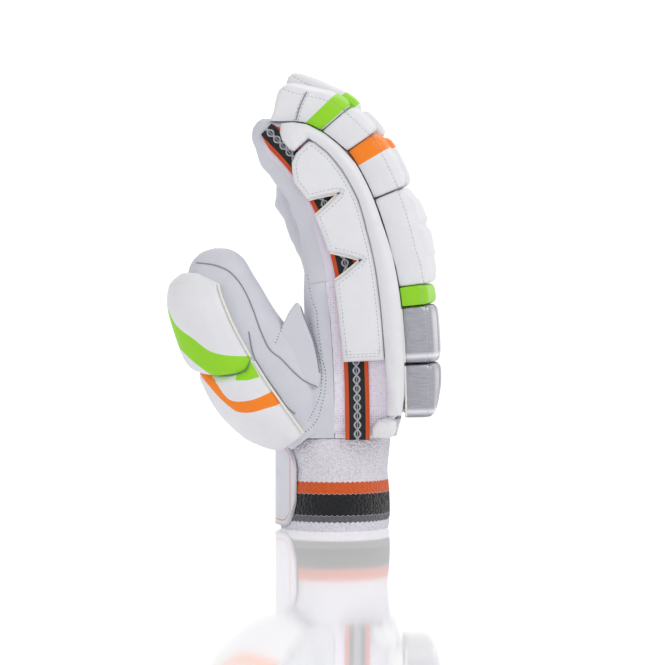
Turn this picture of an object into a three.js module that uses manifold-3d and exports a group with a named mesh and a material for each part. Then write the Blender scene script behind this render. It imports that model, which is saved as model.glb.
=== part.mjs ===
// A right-hand cricket batting glove that stands on its knitted cuff. Millimetres, +Z up.
// +X is the padded back of the hand, -X the palm, -Y the thumb and index finger side.
//
// The hand is drawn flat and then bent. A place on it is (along, across, out): along the curved centre
// line from the wrist seam to the fingertips, across from the index side (minus) to the little finger side
// (plus), and out from the palm (minus) to the back (plus). The line leans toward the palm as it climbs.

import * as THREE from 'three'
import Module from 'manifold-3d'
import { mergeVertices } from 'three/addons/utils/BufferGeometryUtils.js'

// Driving sizes of the hand
const HAND_LENGTH = 208 // wrist seam to index fingertip, along the curve
const HAND_WIDTH = 97
const KNUCKLE_LINE = 96 // where the hand shell ends and the finger stalls begin
const PALM_DEPTH = 50 // from the centre line down to the palm at the wrist
const BACK_DEPTH = 25 // from the centre line up to the seat of the back pads
const BACK_ARCH = 6 // how far the middle of the hand stands proud of its edges
const FINGER_CURL = 47 // lean of the centre line at the fingertips, degrees
const CURL_SPREAD = 44 // length beyond the knuckle pad over which a finger takes up its own extra curl
const ARCH_START = 30 // distance from the wrist seam where the hand's arch is full
const SPINE_SETBACK = 17.9 // centre line behind the cuff's axis at the wrist
const SIDE_SEAM = 16.5 // seam between palm leather and side gusset, below the centre line

// Walls and clearances
const LEATHER = 1.8
const GUSSET_WALL = 2.2
const PANEL_WALL = 4
const STALL_WALL = 2
const STALL_BACK_PADDING = 9
const GAP = 0.35
const PAD_GAP = 0.6 // seat of a pillow on a curved back
const BACK_CORNER = 5
const PALM_CORNER = 22

// Cuff and strap
const CUFF_HEIGHT = 55.5
const CUFF_WIDTH = 90
const CUFF_DEPTH = 66.5
const CUFF_WALL = 3.4
const CUFF_SHIFT = 1.6
const STRAP_WIDTH = 51
const STRAP_THICKNESS = 2
const STRAP_LIFT = 2.4 // strap's lower edge above the cuff's rim
const STRAP_CORNER = 12

// Pads
const PAD_HEIGHT = 21
const PAD_RIM = 0.78 // height of a pad's side wall, as a share of the pad's height
const PAD_SPLIT = 0.5 // gap between neighbouring pads
const RELIEF = 1.6 // raised bars on the knuckle pad
const RELIEF_SLOPE = 1.4 // length over which a raised bar falls back to the pad
const WRIST_ROLL_INSET = 5 // ends of the wrist roll inside the edges of the hand

// Side trim
const TAPE_WIDTH = 14.5
const TAPE_THICKNESS = 1
const TAPE_LOWER_EDGE = 10 // below the centre line
const BAR_LAP = 0.8 // how far the side bar reaches past the tape's lower edge
const BAR_THICKNESS = 7
const BAR_BEVEL = 1.4
const ROLL_THICKNESS = 9.5
const ROLL_BEVEL = 3.2
const TAB_LENGTH = 12.6
const TAB_WIDTH = 14.6
const TAB_OUT = 6 // lower edge of the wrist tab above the centre line
const TAB_THICKNESS = 5
const TAB_BEVEL = 1.2

// Thumb
const THUMB_LENGTH = 112
const THUMB_WIDTH = 44
const THUMB_THICKNESS = 36
const THUMB_ROOT_X = -24
const THUMB_ROOT_Z = 60
const THUMB_ROOT_ACROSS = -35
const THUMB_SPLAY = 6 // how much nearer the index side the thumb's tip is than its root
const GUARD_THICKNESS = 12.5
const LOWER_GUARD_THICKNESS = 10.6
const GUARD_FACE = 0.5 // thickness on the thumb's face, as a share of the thickness on its edge
const GUARD_SPLIT = 1.3 // gap between the two guards, along the thumb
const WEB_THICKNESS = 2

const lerp = (a, b, t) => a + (b - a) * t
const radians = THREE.MathUtils.degToRad
const smoothstep = THREE.MathUtils.smoothstep
const middleOf = (points) => (
  points.reduce((sum, p) => sum.add(p), new THREE.Vector3()).divideScalar(points.length))

// Reads a table with named columns at a place along its first column
function readTable(table, key, column, at) {
  if (at <= table[0][key]) return table[0][column]
  for (let i = 1; i < table.length; i++) {
    const low = table[i - 1]
    const high = table[i]
    if (at <= high[key]) return lerp(low[column], high[column], (at - low[key]) / (high[key] - low[key]))
  }
  return table[table.length - 1][column]
}

// Lean of the centre line: along as a share of HAND_LENGTH, lean as a share of FINGER_CURL
const SPINE = [
  { along: 0.0, lean: 0.0 },
  { along: 0.17, lean: 0.04 },
  { along: 0.25, lean: 0.066 },
  { along: 0.33, lean: 0.106 },
  { along: 0.42, lean: 0.168 },
  { along: 0.5, lean: 0.26 },
  { along: 0.58, lean: 0.38 },
  { along: 0.67, lean: 0.523 },
  { along: 0.75, lean: 0.683 },
  { along: 0.83, lean: 0.838 },
  { along: 0.92, lean: 0.955 },
  { along: 1.0, lean: 1.0 },
]

// Depth of the hand: along as a share of HAND_LENGTH, palm and back as shares of PALM_DEPTH and BACK_DEPTH
const HAND_PROFILE = [
  { along: 0.0, palm: 1.02, back: 0.68, width: 0.94 },
  { along: 0.055, palm: 0.98, back: 0.76, width: 0.99 },
  { along: 0.08, palm: 0.965, back: 1.0, width: 1.0 },
  { along: 0.15, palm: 0.9, back: 1.02, width: 1.0 },
  { along: 0.24, palm: 0.8, back: 1.05, width: 1.0 },
  { along: 0.34, palm: 0.71, back: 1.06, width: 1.0 },
  { along: 0.4615, palm: 0.635, back: 1.04, width: 1.0 },
]

// Depth of a finger stall: reach as a share of the stall's own length above the knuckle line
const STALL_PROFILE = [
  { reach: 0.0, palm: 0.625, back: 1.04, width: 1.0 },
  { reach: 0.12, palm: 0.575, back: 0.98, width: 1.0 },
  { reach: 0.25, palm: 0.535, back: 0.96, width: 1.0 },
  { reach: 0.4, palm: 0.49, back: 1.0, width: 1.0 },
  { reach: 0.54, palm: 0.46, back: 1.0, width: 1.0 },
  { reach: 0.64, palm: 0.45, back: 0.9, width: 1.0 },
  { reach: 0.74, palm: 0.445, back: 0.77, width: 1.0 },
  { reach: 0.81, palm: 0.435, back: 0.63, width: 1.0 },
  { reach: 0.87, palm: 0.38, back: 0.4, width: 0.98 },
  { reach: 0.92, palm: 0.33, back: 0.17, width: 0.9 },
  { reach: 0.965, palm: 0.26, back: 0.0, width: 0.72 },
  { reach: 0.99, palm: 0.18, back: -0.1, width: 0.42 },
]
const STALL_TIP_OUT = -0.11 // the tip's place as a share of PALM_DEPTH
const STALL_CAVITY_END = 0.9 // share of the stall's reach that is hollow

const trio = ['low', 'mid', 'tip']
const pair = ['base', 'end']

// Fingers: length as a share of HAND_LENGTH, curl in degrees beyond the centre line's own lean, drop toward
// the palm, bulk of its pads, crown and overhang of the last pad as shares of PAD_HEIGHT
const FINGERS = [
  { name: 'index', length: 1.0, curl: 0, drop: 0, bulk: 1.0, crown: 1.15, overhang: 0.4, pads: trio },
  { name: 'middle', length: 0.985, curl: -3, drop: 0, bulk: 1.07, crown: 1.34, overhang: 0.75, pads: trio },
  { name: 'ring', length: 0.97, curl: 2, drop: 0.06, bulk: 1.04, crown: 1.25, overhang: 0.4, pads: trio },
  { name: 'little', length: 0.85, curl: 1.5, drop: 0.42, bulk: 1.0, crown: 1.1, overhang: 0.25, pads: pair },
]

// Finger pads: from and to as shares of the stall's reach, height as a share of PAD_HEIGHT at each end
const FINGER_PADS = {
  low: { from: 0.34, to: 0.583, start: 0.92, end: 0.93 },
  mid: { from: 0.583, to: 0.727, start: 0.97, end: 1.05 },
  tip: { from: 0.727, to: 0.955, start: 1.07, last: true },
  base: { from: 0.44, to: 0.68, start: 0.9, end: 0.9 },
  end: { from: 0.68, to: 0.92, start: 0.95, last: true },
}

// Rows of pads on the back of the hand: from and to as shares of HAND_LENGTH
const BLOCK_ROWS = [
  { name: 'lower', from: 0.057, to: 0.207, height: 0.82 },
  { name: 'upper', from: 0.207, to: 0.363, height: 0.8 },
]
const WRIST_ROLL = { from: 0.004, to: 0.055, height: 0.14 }
const KNUCKLE_BAND = { from: 0.363, to: 0.415, height: 0.76 }
const KNUCKLE_PAD = { from: 0.415, to: 0.645, height: 0.87 }
const RELIEF_BARS = [
  { from: 0.485, to: 0.54 },
  { from: 0.56, to: 0.61 },
]
const RELIEF_SPAN = 0.9 // share of the hand's width that the bars cover

const knucklePadEnd = KNUCKLE_PAD.to * HAND_LENGTH
const index = FINGERS[0]
const little = FINGERS[3]
const laneWidth = HAND_WIDTH / FINGERS.length
const halfWidth = HAND_WIDTH / 2

// The bent centre line of one finger and the hand below it
function makeSpine(finger) {
  const steps = 260
  const reach = HAND_LENGTH * 1.1
  const step = reach / steps
  const places = [{ x: SPINE_SETBACK, z: CUFF_HEIGHT + GAP, lean: 0 }]
  for (let i = 0; i <= steps; i++) {
    const along = i * step
    const ownCurl = finger.curl * smoothstep(along, knucklePadEnd, knucklePadEnd + CURL_SPREAD)
    const lean = radians(readTable(SPINE, 'along', 'lean', along / HAND_LENGTH) * FINGER_CURL + ownCurl)
    const last = places[i]
    last.lean = lean
    places.push({ x: last.x - Math.sin(lean) * step, z: last.z + Math.cos(lean) * step, lean })
  }
  return (along) => {
    if (along <= 0) return { x: places[0].x, z: places[0].z + along, lean: places[0].lean }
    const i = Math.min(Math.floor(along / step), steps)
    const t = Math.min(along / step - i, 1)
    const low = places[i]
    const high = places[i + 1]
    const lean = lerp(low.lean, high.lean, t)
    const sunk = finger.drop * PAD_HEIGHT * smoothstep(along, KNUCKLE_LINE, KNUCKLE_LINE + CURL_SPREAD)
    const x = lerp(low.x, high.x, t) - sunk * Math.cos(lean)
    const z = lerp(low.z, high.z, t) - sunk * Math.sin(lean)
    return { x, z, lean }
  }
}

const spines = Object.fromEntries(FINGERS.map((finger) => [finger.name, makeSpine(finger)]))

// The arch across the hand, flat within each finger lane and growing up from the wrist
function arch(along, across) {
  const share = Math.min(Math.abs(across) / halfWidth, 1)
  const height = BACK_ARCH * Math.min(Math.max(along / ARCH_START, 0), 1)
  return height * (share < 0.5 ? lerp(1, 0.75, share * 2) : lerp(0.75, 0, share * 2 - 1))
}

function place(spine, along, across, out) {
  const at = spine(along)
  const lift = out + arch(along, across)
  return new THREE.Vector3(at.x + lift * Math.cos(at.lean), across, at.z + lift * Math.sin(at.lean))
}

// One closed body between two grids of points, with the rims between them filled.
// Rows that close on themselves have no side rims. A row drawn to one point makes a closed tip.
function bodyBetween(outer, inner, wraps = false) {
  const position = []
  const pushTriangle = (a, b, c) => {
    const small = 1e-5
    if (a.distanceTo(b) < small || b.distanceTo(c) < small || c.distanceTo(a) < small) return
    position.push(a.x, a.y, a.z, b.x, b.y, b.z, c.x, c.y, c.z)
  }
  const pushQuad = (a, b, c, d) => {
    pushTriangle(a, b, c)
    pushTriangle(a, c, d)
  }
  const rows = outer.length
  const columns = outer[0].length
  const lastColumn = wraps ? columns : columns - 1
  for (let j = 0; j < lastColumn; j++) {
    const k = (j + 1) % columns
    for (let i = 0; i < rows - 1; i++) {
      pushQuad(outer[i][j], outer[i][k], outer[i + 1][k], outer[i + 1][j])
      pushQuad(inner[i][j], inner[i + 1][j], inner[i + 1][k], inner[i][k])
    }
    pushQuad(outer[0][j], inner[0][j], inner[0][k], outer[0][k])
    pushQuad(outer[rows - 1][j], outer[rows - 1][k], inner[rows - 1][k], inner[rows - 1][j])
  }
  for (let i = 0; i < rows - 1 && !wraps; i++) {
    const m = columns - 1
    pushQuad(outer[i][0], outer[i + 1][0], inner[i + 1][0], inner[i][0])
    pushQuad(outer[i][m], inner[i][m], inner[i + 1][m], outer[i + 1][m])
  }
  const geometry = new THREE.BufferGeometry()
  geometry.setAttribute('position', new THREE.Float32BufferAttribute(position, 3))
  return facingOut(mergeVertices(geometry, 1e-4))
}

// Turns every triangle over when the body's volume comes out negative
function facingOut(geometry) {
  const at = geometry.attributes.position
  const order = geometry.index.array
  const [a, b, c] = [new THREE.Vector3(), new THREE.Vector3(), new THREE.Vector3()]
  let volume = 0
  for (let i = 0; i < order.length; i += 3) {
    a.fromBufferAttribute(at, order[i])
    b.fromBufferAttribute(at, order[i + 1])
    c.fromBufferAttribute(at, order[i + 2])
    volume += a.dot(b.cross(c))
  }
  for (let i = 0; i < order.length && volume < 0; i += 3) {
    const first = order[i]
    order[i] = order[i + 1]
    order[i + 1] = first
  }
  return geometry
}

const wasm = await Module()
wasm.setup()

function toSolid(geometry) {
  return new wasm.Manifold(new wasm.Mesh({
    numProp: 3,
    vertProperties: new Float32Array(geometry.attributes.position.array),
    triVerts: new Uint32Array(geometry.index.array),
  }))
}

function toGeometry(solid) {
  const mesh = solid.getMesh()
  const geometry = new THREE.BufferGeometry()
  geometry.setAttribute('position', new THREE.BufferAttribute(mesh.vertProperties, 3))
  geometry.setIndex(new THREE.BufferAttribute(mesh.triVerts, 1))
  return geometry
}

// The largest body left when the tools are cut away
function cut(geometry, tools) {
  let solid = toSolid(geometry)
  for (const tool of tools) solid = solid.subtract(toSolid(tool))
  const bodies = solid.decompose().sort((a, b) => b.volume() - a.volume())
  return toGeometry(bodies[0])
}

const group = new THREE.Group()
const glove = new THREE.Group()
group.add(glove)

const finish = {
  whiteLeather: { color: 0xeeeef2, roughness: 0.55, metalness: 0 },
  palmLeather: { color: 0xd4d5df, roughness: 0.65, metalness: 0 },
  mesh: { color: 0xe6e0ee, roughness: 0.9, metalness: 0 },
  green: { color: 0x9bdd22, roughness: 0.5, metalness: 0 },
  tape: { color: 0x1b1d20, roughness: 0.85, metalness: 0 },
  silver: { color: 0xb4b4bc, roughness: 0.4, metalness: 0.35 },
  knit: { color: 0xe9e7ef, roughness: 0.95, metalness: 0 },
}

function addPiece(name, geometry, look) {
  geometry.computeVertexNormals()
  const mesh = new THREE.Mesh(geometry, new THREE.MeshStandardMaterial(finish[look]))
  mesh.name = name
  glove.add(mesh)
}

// Outline across the hand. The round corner ends short of the side seam and of the outer finger lane.
function palmLine(palm, half) {
  const corner = Math.min(PALM_CORNER, (palm - SIDE_SEAM) * 0.9, (half - laneWidth) * 0.95)
  const points = [[-half, -SIDE_SEAM]]
  for (let i = 0; i <= 4; i++) {
    const turn = radians(90 * i / 4)
    points.push([-half + corner * (1 - Math.cos(turn)), -palm + corner * (1 - Math.sin(turn))])
  }
  for (const share of [-0.25, 0, 0.25]) points.push([share * HAND_WIDTH, -palm])
  const mirrored = points.slice(0, 6).reverse().map(([across, out]) => [-across, out])
  return [...points, ...mirrored]
}

function backLine(back, half) {
  const side = back - BACK_CORNER
  const points = [[-half, side + GAP]]
  for (let i = 1; i <= 3; i++) {
    const turn = radians(90 * i / 3)
    points.push([-half + BACK_CORNER * (1 - Math.cos(turn)), side + BACK_CORNER * Math.sin(turn)])
  }
  points.push([-laneWidth, back], [0, back])
  const mirrored = points.slice(0, 5).reverse().map(([across, out]) => [-across, out])
  return [...points, ...mirrored]
}

// A line of points moved square to itself, toward the inside of the hand
function insetLine(line, distance, side) {
  return line.map(([x, y], i) => {
    const before = line[Math.max(i - 1, 0)]
    const after = line[Math.min(i + 1, line.length - 1)]
    const atEnd = i === 0 || i === line.length - 1
    const dx = atEnd ? 0 : after[0] - before[0]
    const dy = after[1] - before[1]
    const length = Math.hypot(dx, dy)
    return [x - side * dy / length * distance, y + side * dx / length * distance]
  })
}

// A sheet round part of the hand, from the wrist seam to the knuckle line
function handStrip(lineAt, wall, side) {
  const spine = spines.index
  const outer = []
  const inner = []
  HAND_PROFILE.forEach((row, i) => {
    const last = i === HAND_PROFILE.length - 1
    const along = last ? KNUCKLE_LINE : row.along * HAND_LENGTH
    const line = lineAt(row.palm * PALM_DEPTH, row.back * BACK_DEPTH, row.width * halfWidth)
    outer.push(line.map(([across, out]) => place(spine, along, across, out)))
    inner.push(insetLine(line, wall, side).map(([across, out]) => place(spine, along, across, out)))
  })
  return bodyBetween(outer, inner)
}

const palmLeather = handStrip((palm, back, half) => palmLine(palm, half), LEATHER, 1)
const backPanel = handStrip((palm, back, half) => backLine(back, half), PANEL_WALL, -1)

function gusset(sign) {
  return handStrip((palm, back, half) => [
    [sign * half, -SIDE_SEAM + GAP],
    [sign * half, back - BACK_CORNER],
  ], GUSSET_WALL, sign)
}

// The whole hand as one block, grown by a clearance, to trim what meets it
function handBlock(clearance) {
  const spine = spines.index
  const rings = HAND_PROFILE.map((row) => {
    const palm = row.palm * PALM_DEPTH + clearance
    const half = row.width * halfWidth + clearance
    const back = row.back * BACK_DEPTH
    return [...palmLine(palm, half), [half, back], [-half, back]].map(([across, out]) => (
      place(spine, row.along * HAND_LENGTH, across, out)))
  })
  return fillRings(rings)
}

// A solid through closed rings, its ends drawn together to one point
function fillRings(rings) {
  const cap = (ring) => ring.map(() => middleOf(ring))
  const all = [cap(rings[0]), ...rings, cap(rings[rings.length - 1])]
  const position = []
  for (let i = 0; i < all.length - 1; i++) {
    for (let j = 0; j < rings[0].length; j++) {
      const k = (j + 1) % rings[0].length
      const [a, b, c, d] = [all[i][j], all[i][k], all[i + 1][k], all[i + 1][j]]
      if (a.distanceTo(b) > 1e-5) position.push(...a.toArray(), ...b.toArray(), ...c.toArray())
      if (c.distanceTo(d) > 1e-5) position.push(...a.toArray(), ...c.toArray(), ...d.toArray())
    }
  }
  const geometry = new THREE.BufferGeometry()
  geometry.setAttribute('position', new THREE.Float32BufferAttribute(position, 3))
  return facingOut(mergeVertices(geometry, 1e-4))
}

// One finger: its lane, its length and its hollow stall
function laneOf(finger) {
  const lane = FINGERS.indexOf(finger)
  const left = -halfWidth + lane * laneWidth
  return { left: left + (lane > 0 ? GAP / 2 : 0), right: left + laneWidth - (lane < 3 ? GAP / 2 : 0) }
}

const stallLength = (finger) => HAND_LENGTH * finger.length - KNUCKLE_LINE
const STALL_SIDES = 16

// A ring round a stall: a rounded box that is squarer on its back than on its palm side
function stallRing(finger, row, wall, backWall) {
  const { left, right } = laneOf(finger)
  const middle = (left + right) / 2
  const half = (right - left) / 2 * row.width - wall
  const low = -row.palm * PALM_DEPTH + wall
  const high = row.back * BACK_DEPTH - backWall
  const centre = (low + high) / 2
  const tall = Math.max((high - low) / 2, 1)
  const along = KNUCKLE_LINE + GAP + row.reach * stallLength(finger)
  const ring = []
  for (let i = 0; i < STALL_SIDES; i++) {
    const turn = radians(360 * (i + 0.5) / STALL_SIDES)
    const squareness = Math.sin(turn) > 0 ? 0.45 : 0.75
    const swell = (value) => Math.sign(value) * Math.abs(value) ** squareness
    const across = middle + half * swell(Math.cos(turn))
    ring.push(place(spines[finger.name], along, across, centre + tall * swell(Math.sin(turn))))
  }
  return ring
}

function stall(finger) {
  const outer = STALL_PROFILE.map((row) => stallRing(finger, row, 0, 0))
  const tipAlong = KNUCKLE_LINE + stallLength(finger)
  const { left, right } = laneOf(finger)
  const tip = place(spines[finger.name], tipAlong, (left + right) / 2, STALL_TIP_OUT * PALM_DEPTH)
  outer.push(outer[0].map(() => tip))
  const cavityRows = STALL_PROFILE.filter((row) => row.reach < STALL_CAVITY_END)
  const inner = cavityRows.map((row) => {
    const padding = Math.min(STALL_BACK_PADDING, row.back * BACK_DEPTH - STALL_WALL)
    return stallRing(finger, row, STALL_WALL, row.reach === 0 ? PANEL_WALL : padding)
  })
  const deepest = inner[inner.length - 1]
  const end = middleOf(deepest)
  while (inner.length < outer.length) inner.push(deepest.map(() => end))
  return bodyBetween(outer, inner, true)
}

// A stuffed pillow on the back: flat sides up to a rim, then a soft crown. A high fall keeps the crown
// level almost to its side edges, and a high corner power keeps the plan nearly square.
const CORNER_POWER = 9

function pillow({ spine, lines, left, right, across, seat, height, fall = 3, overhang = 0, relief }) {
  const from = lines[0]
  const to = lines[lines.length - 1]
  const top = []
  const bottom = []
  for (const along of lines) {
    const topRow = []
    const bottomRow = []
    for (const share of across) {
      const a = (along - from) / (to - from) * 2 - 1
      const ring = Math.max(Math.abs(a), Math.abs(share))
      const spread = (Math.abs(a) ** CORNER_POWER + Math.abs(share) ** CORNER_POWER) ** (1 / CORNER_POWER)
      const rounding = ring === 0 ? 1 : ring / spread
      const roundedAlong = lerp(from, to, (a * rounding + 1) / 2)
      const roundedAcross = lerp(left, right, (share * rounding + 1) / 2)
      const edge = Math.max(Math.abs(a) ** 3, Math.abs(share) ** fall)
      const crown = PAD_RIM + (1 - PAD_RIM) * (1 - edge) ** 0.4
      const base = seat(roundedAlong)
      const reach = overhang * Math.max((a + 1) / 2, 0) ** 3
      const raised = relief ? relief(along, share) : 0
      topRow.push(place(spine, roundedAlong + reach, roundedAcross,
        base + height(roundedAlong) * crown + raised))
      bottomRow.push(place(spine, roundedAlong, roundedAcross, base))
    }
    top.push(topRow)
    bottom.push(bottomRow)
  }
  return bodyBetween(top, bottom)
}

const LANE_LINES = [-1, -0.78, -0.3, 0.3, 0.78, 1]
const WIDE_LINES = [-1, -0.93, -0.75, -0.5, -0.25, 0, 0.25, 0.5, 0.75, 0.93, 1]

// Lines along a pad: its ends, its rounded shoulders and the profile's own rows between them
const PAD_SHOULDER = 0.12 // as a share of the pad's length

function padLines(from, to, stations) {
  const shoulder = (to - from) * PAD_SHOULDER
  const inside = stations.filter((s) => s > from + shoulder * 1.3 && s < to - shoulder * 1.3)
  const middle = inside.length > 0 ? inside : [(from + to) / 2]
  return [from, from + shoulder, ...middle, to - shoulder, to]
}

const handStations = HAND_PROFILE.map((row) => row.along * HAND_LENGTH)
const handSeat = (along) => (
  readTable(HAND_PROFILE, 'along', 'back', along / HAND_LENGTH) * BACK_DEPTH + PAD_GAP)

const rowLines = (row) => padLines(
  row.from * HAND_LENGTH + PAD_SPLIT / 2, row.to * HAND_LENGTH - PAD_SPLIT / 2, handStations)

function blockPillow(finger, row) {
  const { left, right } = laneOf(finger)
  return pillow({
    spine: spines.index,
    lines: rowLines(row),
    left: left + PAD_SPLIT / 2,
    right: right - PAD_SPLIT / 2,
    across: LANE_LINES,
    seat: (along) => Math.max(handSeat(along), BACK_DEPTH + PAD_GAP),
    height: () => row.height * PAD_HEIGHT,
  })
}

function stallSeat(finger) {
  return (along) => {
    const reach = (along - KNUCKLE_LINE - GAP) / stallLength(finger)
    return readTable(STALL_PROFILE, 'reach', 'back', reach) * BACK_DEPTH + PAD_GAP
  }
}

function fingerPillow(finger, row) {
  const { left, right } = laneOf(finger)
  const alongAt = (reach) => KNUCKLE_LINE + GAP + reach * stallLength(finger)
  const from = Math.max(alongAt(row.from), knucklePadEnd) + PAD_SPLIT / 2
  const to = alongAt(row.to) - PAD_SPLIT / 2
  return pillow({
    spine: spines[finger.name],
    lines: padLines(from, to, STALL_PROFILE.map((station) => alongAt(station.reach))),
    left: left + PAD_SPLIT / 2,
    right: right - PAD_SPLIT / 2,
    across: LANE_LINES,
    seat: stallSeat(finger),
    height: (along) => (
      PAD_HEIGHT * lerp(row.start * finger.bulk, row.last ? finger.crown : row.end * finger.bulk,
        (along - from) / (to - from))),
    overhang: row.last ? finger.overhang * PAD_HEIGHT : 0,
  })
}

// A pillow over the whole width of the hand
function widePillow(row, inset, lines, relief) {
  const fingerSeat = stallSeat(index)
  return pillow({
    spine: spines.index,
    lines,
    left: -halfWidth + inset,
    right: halfWidth - inset,
    across: WIDE_LINES,
    seat: (along) => (
      along < KNUCKLE_LINE ? handSeat(along) : Math.max(fingerSeat(along), BACK_DEPTH + PAD_GAP)),
    height: () => row.height * PAD_HEIGHT,
    fall: 14,
    relief,
  })
}

function knucklePad() {
  const from = KNUCKLE_PAD.from * HAND_LENGTH + PAD_SPLIT / 2
  const to = KNUCKLE_PAD.to * HAND_LENGTH - PAD_SPLIT / 2
  const bars = RELIEF_BARS.map((bar) => ({ start: bar.from * HAND_LENGTH, end: bar.to * HAND_LENGTH }))
  const edges = bars.flatMap(({ start, end }) => [start - RELIEF_SLOPE, start, end, end + RELIEF_SLOPE])
  const raised = (along, share) => {
    const onBar = bars.some(({ start, end }) => along >= start && along <= end)
    return onBar && Math.abs(share) < RELIEF_SPAN ? RELIEF : 0
  }
  const shoulder = from + (to - from) * PAD_SHOULDER
  return widePillow(KNUCKLE_PAD, PAD_SPLIT / 2, [from, shoulder, KNUCKLE_LINE, ...edges, to], raised)
}

// A flat outline in the side plane of the glove, thickened outward from the hand's flank
const BEVEL_REACH = 0.9 // how far a bevel comes in, as a share of its depth

function sidePlate(spine, outline, sign, start, thickness, bevel) {
  const flat = outline.map(([along, out]) => {
    const at = spine(along)
    return new THREE.Vector2(at.x + out * Math.cos(at.lean), at.z + out * Math.sin(at.lean))
  })
  const geometry = new THREE.ExtrudeGeometry(new THREE.Shape(flat), {
    depth: thickness - 2 * bevel,
    bevelEnabled: bevel > 0,
    bevelThickness: bevel,
    bevelSize: bevel * BEVEL_REACH,
    bevelOffset: -bevel * BEVEL_REACH,
    bevelSegments: 2,
    steps: 1,
  })
  geometry.rotateX(Math.PI / 2)
  geometry.translate(0, sign > 0 ? halfWidth + start + thickness - bevel : -halfWidth - start - bevel, 0)
  geometry.deleteAttribute('normal')
  geometry.deleteAttribute('uv')
  return facingOut(mergeVertices(geometry, 1e-4))
}

// The two edges of a band as one outline: up the lower edge and back down the upper edge
function bandOutline(rows, reach) {
  const up = rows.map((row) => [row.along * reach, row.low])
  const down = rows.map((row) => [row.along * reach, row.high]).reverse()
  return [...up, ...down]
}

// The tape's two ends and the place where it starts to narrow, as shares of the finger's whole length
const TAPE_RUN = { from: -0.004, narrows: 0.93, to: 0.965, rows: 14 }

function tapeOutline(reach) {
  const rows = []
  for (let i = 0; i <= TAPE_RUN.rows; i++) {
    const along = lerp(TAPE_RUN.from, TAPE_RUN.to, i / TAPE_RUN.rows)
    const narrowing = along > TAPE_RUN.narrows ? TAPE_WIDTH / 5 : 0
    const low = -TAPE_LOWER_EDGE + narrowing
    rows.push({ along, low, high: -TAPE_LOWER_EDGE + TAPE_WIDTH - narrowing * 2 })
  }
  return bandOutline(rows, reach)
}

// Edges between bar and roll (valley) and beyond the roll (ridge), as shares of BACK_DEPTH above the centre
// line. Along is a share of the finger's whole length.
const SIDE_EDGES = [
  { along: 0.065, valley: 0.6, ridge: 0.94 },
  { along: 0.12, valley: 0.6, ridge: 1.012 },
  { along: 0.2, valley: 0.584, ridge: 1.032 },
  { along: 0.3, valley: 0.576, ridge: 1.048 },
  { along: 0.4, valley: 0.576, ridge: 1.048 },
  { along: 0.5, valley: 0.584, ridge: 1.024 },
  { along: 0.58, valley: 0.6, ridge: 0.984 },
  { along: 0.66, valley: 0.664, ridge: 0.992 },
  { along: 0.74, valley: 0.648, ridge: 0.992 },
  { along: 0.8, valley: 0.6, ridge: 0.904 },
  { along: 0.845, valley: 0.504, ridge: 0.808 },
]

// The bar's lower edge and its end above the last knuckle: up is a share of the way from the lower edge,
// at 0, to the seam with the roll, at 1
const BAR_START = 0.221
const BAR_LOWER_EDGE = [
  { along: BAR_START, up: 0.02 },
  { along: 0.34, up: -0.02 },
]
const NOTCHED_EDGE = [
  { along: 0.457, up: -0.02 },
  { along: 0.505, up: 0.71 },
  { along: 0.553, up: 0 },
  { along: 0.666, up: -0.02 },
  { along: 0.697, up: 0.75 },
  { along: 0.724, up: 0 },
]
const PLAIN_EDGE = [
  { along: 0.46, up: -0.02 },
  { along: 0.58, up: -0.02 },
  { along: 0.7, up: -0.02 },
]
const BAR_END = [
  { along: 0.79, up: -0.04 },
  { along: 0.82, up: 0.07 },
  { along: 0.843, up: 0.2 },
  { along: 0.855, up: 0.42 },
  { along: 0.857, up: 0.66 },
  { along: 0.857, up: 0.82 },
]
const ROLL_END = [
  { along: 0.8625, up: 0.85 },
  { along: 0.8625, up: 0.41 },
  { along: 0.88, up: 0.36 },
  { along: 0.91, up: 0.38 },
  { along: 0.93, up: 0.47 },
  { along: 0.945, up: 0.64 },
  { along: 0.925, up: 0.84 },
  { along: 0.894, up: 1.04 },
]

const barEdge = -TAPE_LOWER_EDGE - BAR_LAP
const barSeam = SIDE_EDGES[0].valley * BACK_DEPTH
const acrossBar = (reach) => ({ along, up }) => [along * reach, lerp(barEdge, barSeam, up)]

function barOutline(reach, middleEdge) {
  const lower = [...BAR_LOWER_EDGE, ...middleEdge, ...BAR_END].map(acrossBar(reach))
  const seam = SIDE_EDGES.filter((row) => row.along > BAR_START).reverse()
  const upper = seam.map((row) => [row.along * reach, row.valley * BACK_DEPTH - GAP])
  const start = readTable(SIDE_EDGES, 'along', 'valley', BAR_START) * BACK_DEPTH - GAP
  return [...lower, ...upper, [BAR_START * reach, start]]
}

function rollOutline(reach) {
  const lower = SIDE_EDGES.map((row) => [row.along * reach, row.valley * BACK_DEPTH])
  const upper = SIDE_EDGES.map((row) => [row.along * reach, row.ridge * BACK_DEPTH]).reverse()
  return [...lower, ...ROLL_END.map(acrossBar(reach)), ...upper]
}

// The knitted cuff and its strap: up as a share of CUFF_HEIGHT, girth as a share of the cuff's own
const CUFF_PROFILE = [
  { up: 0.0, girth: 0.985 },
  { up: 0.17, girth: 1.01 },
  { up: 0.4, girth: 1.0 },
  { up: 0.63, girth: 0.965 },
  { up: 0.85, girth: 1.0 },
  { up: 1.0, girth: 1.02 },
]

const cuffPoint = (turn, inset, girth, z) => new THREE.Vector3(
  CUFF_SHIFT + (CUFF_DEPTH / 2 * girth - inset) * Math.cos(turn),
  (CUFF_WIDTH / 2 * girth - inset) * Math.sin(turn),
  z,
)

const CUFF_SIDES = 36
const cuffTurns = Array.from({ length: CUFF_SIDES }, (_, i) => radians(i * 360 / CUFF_SIDES))

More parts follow.
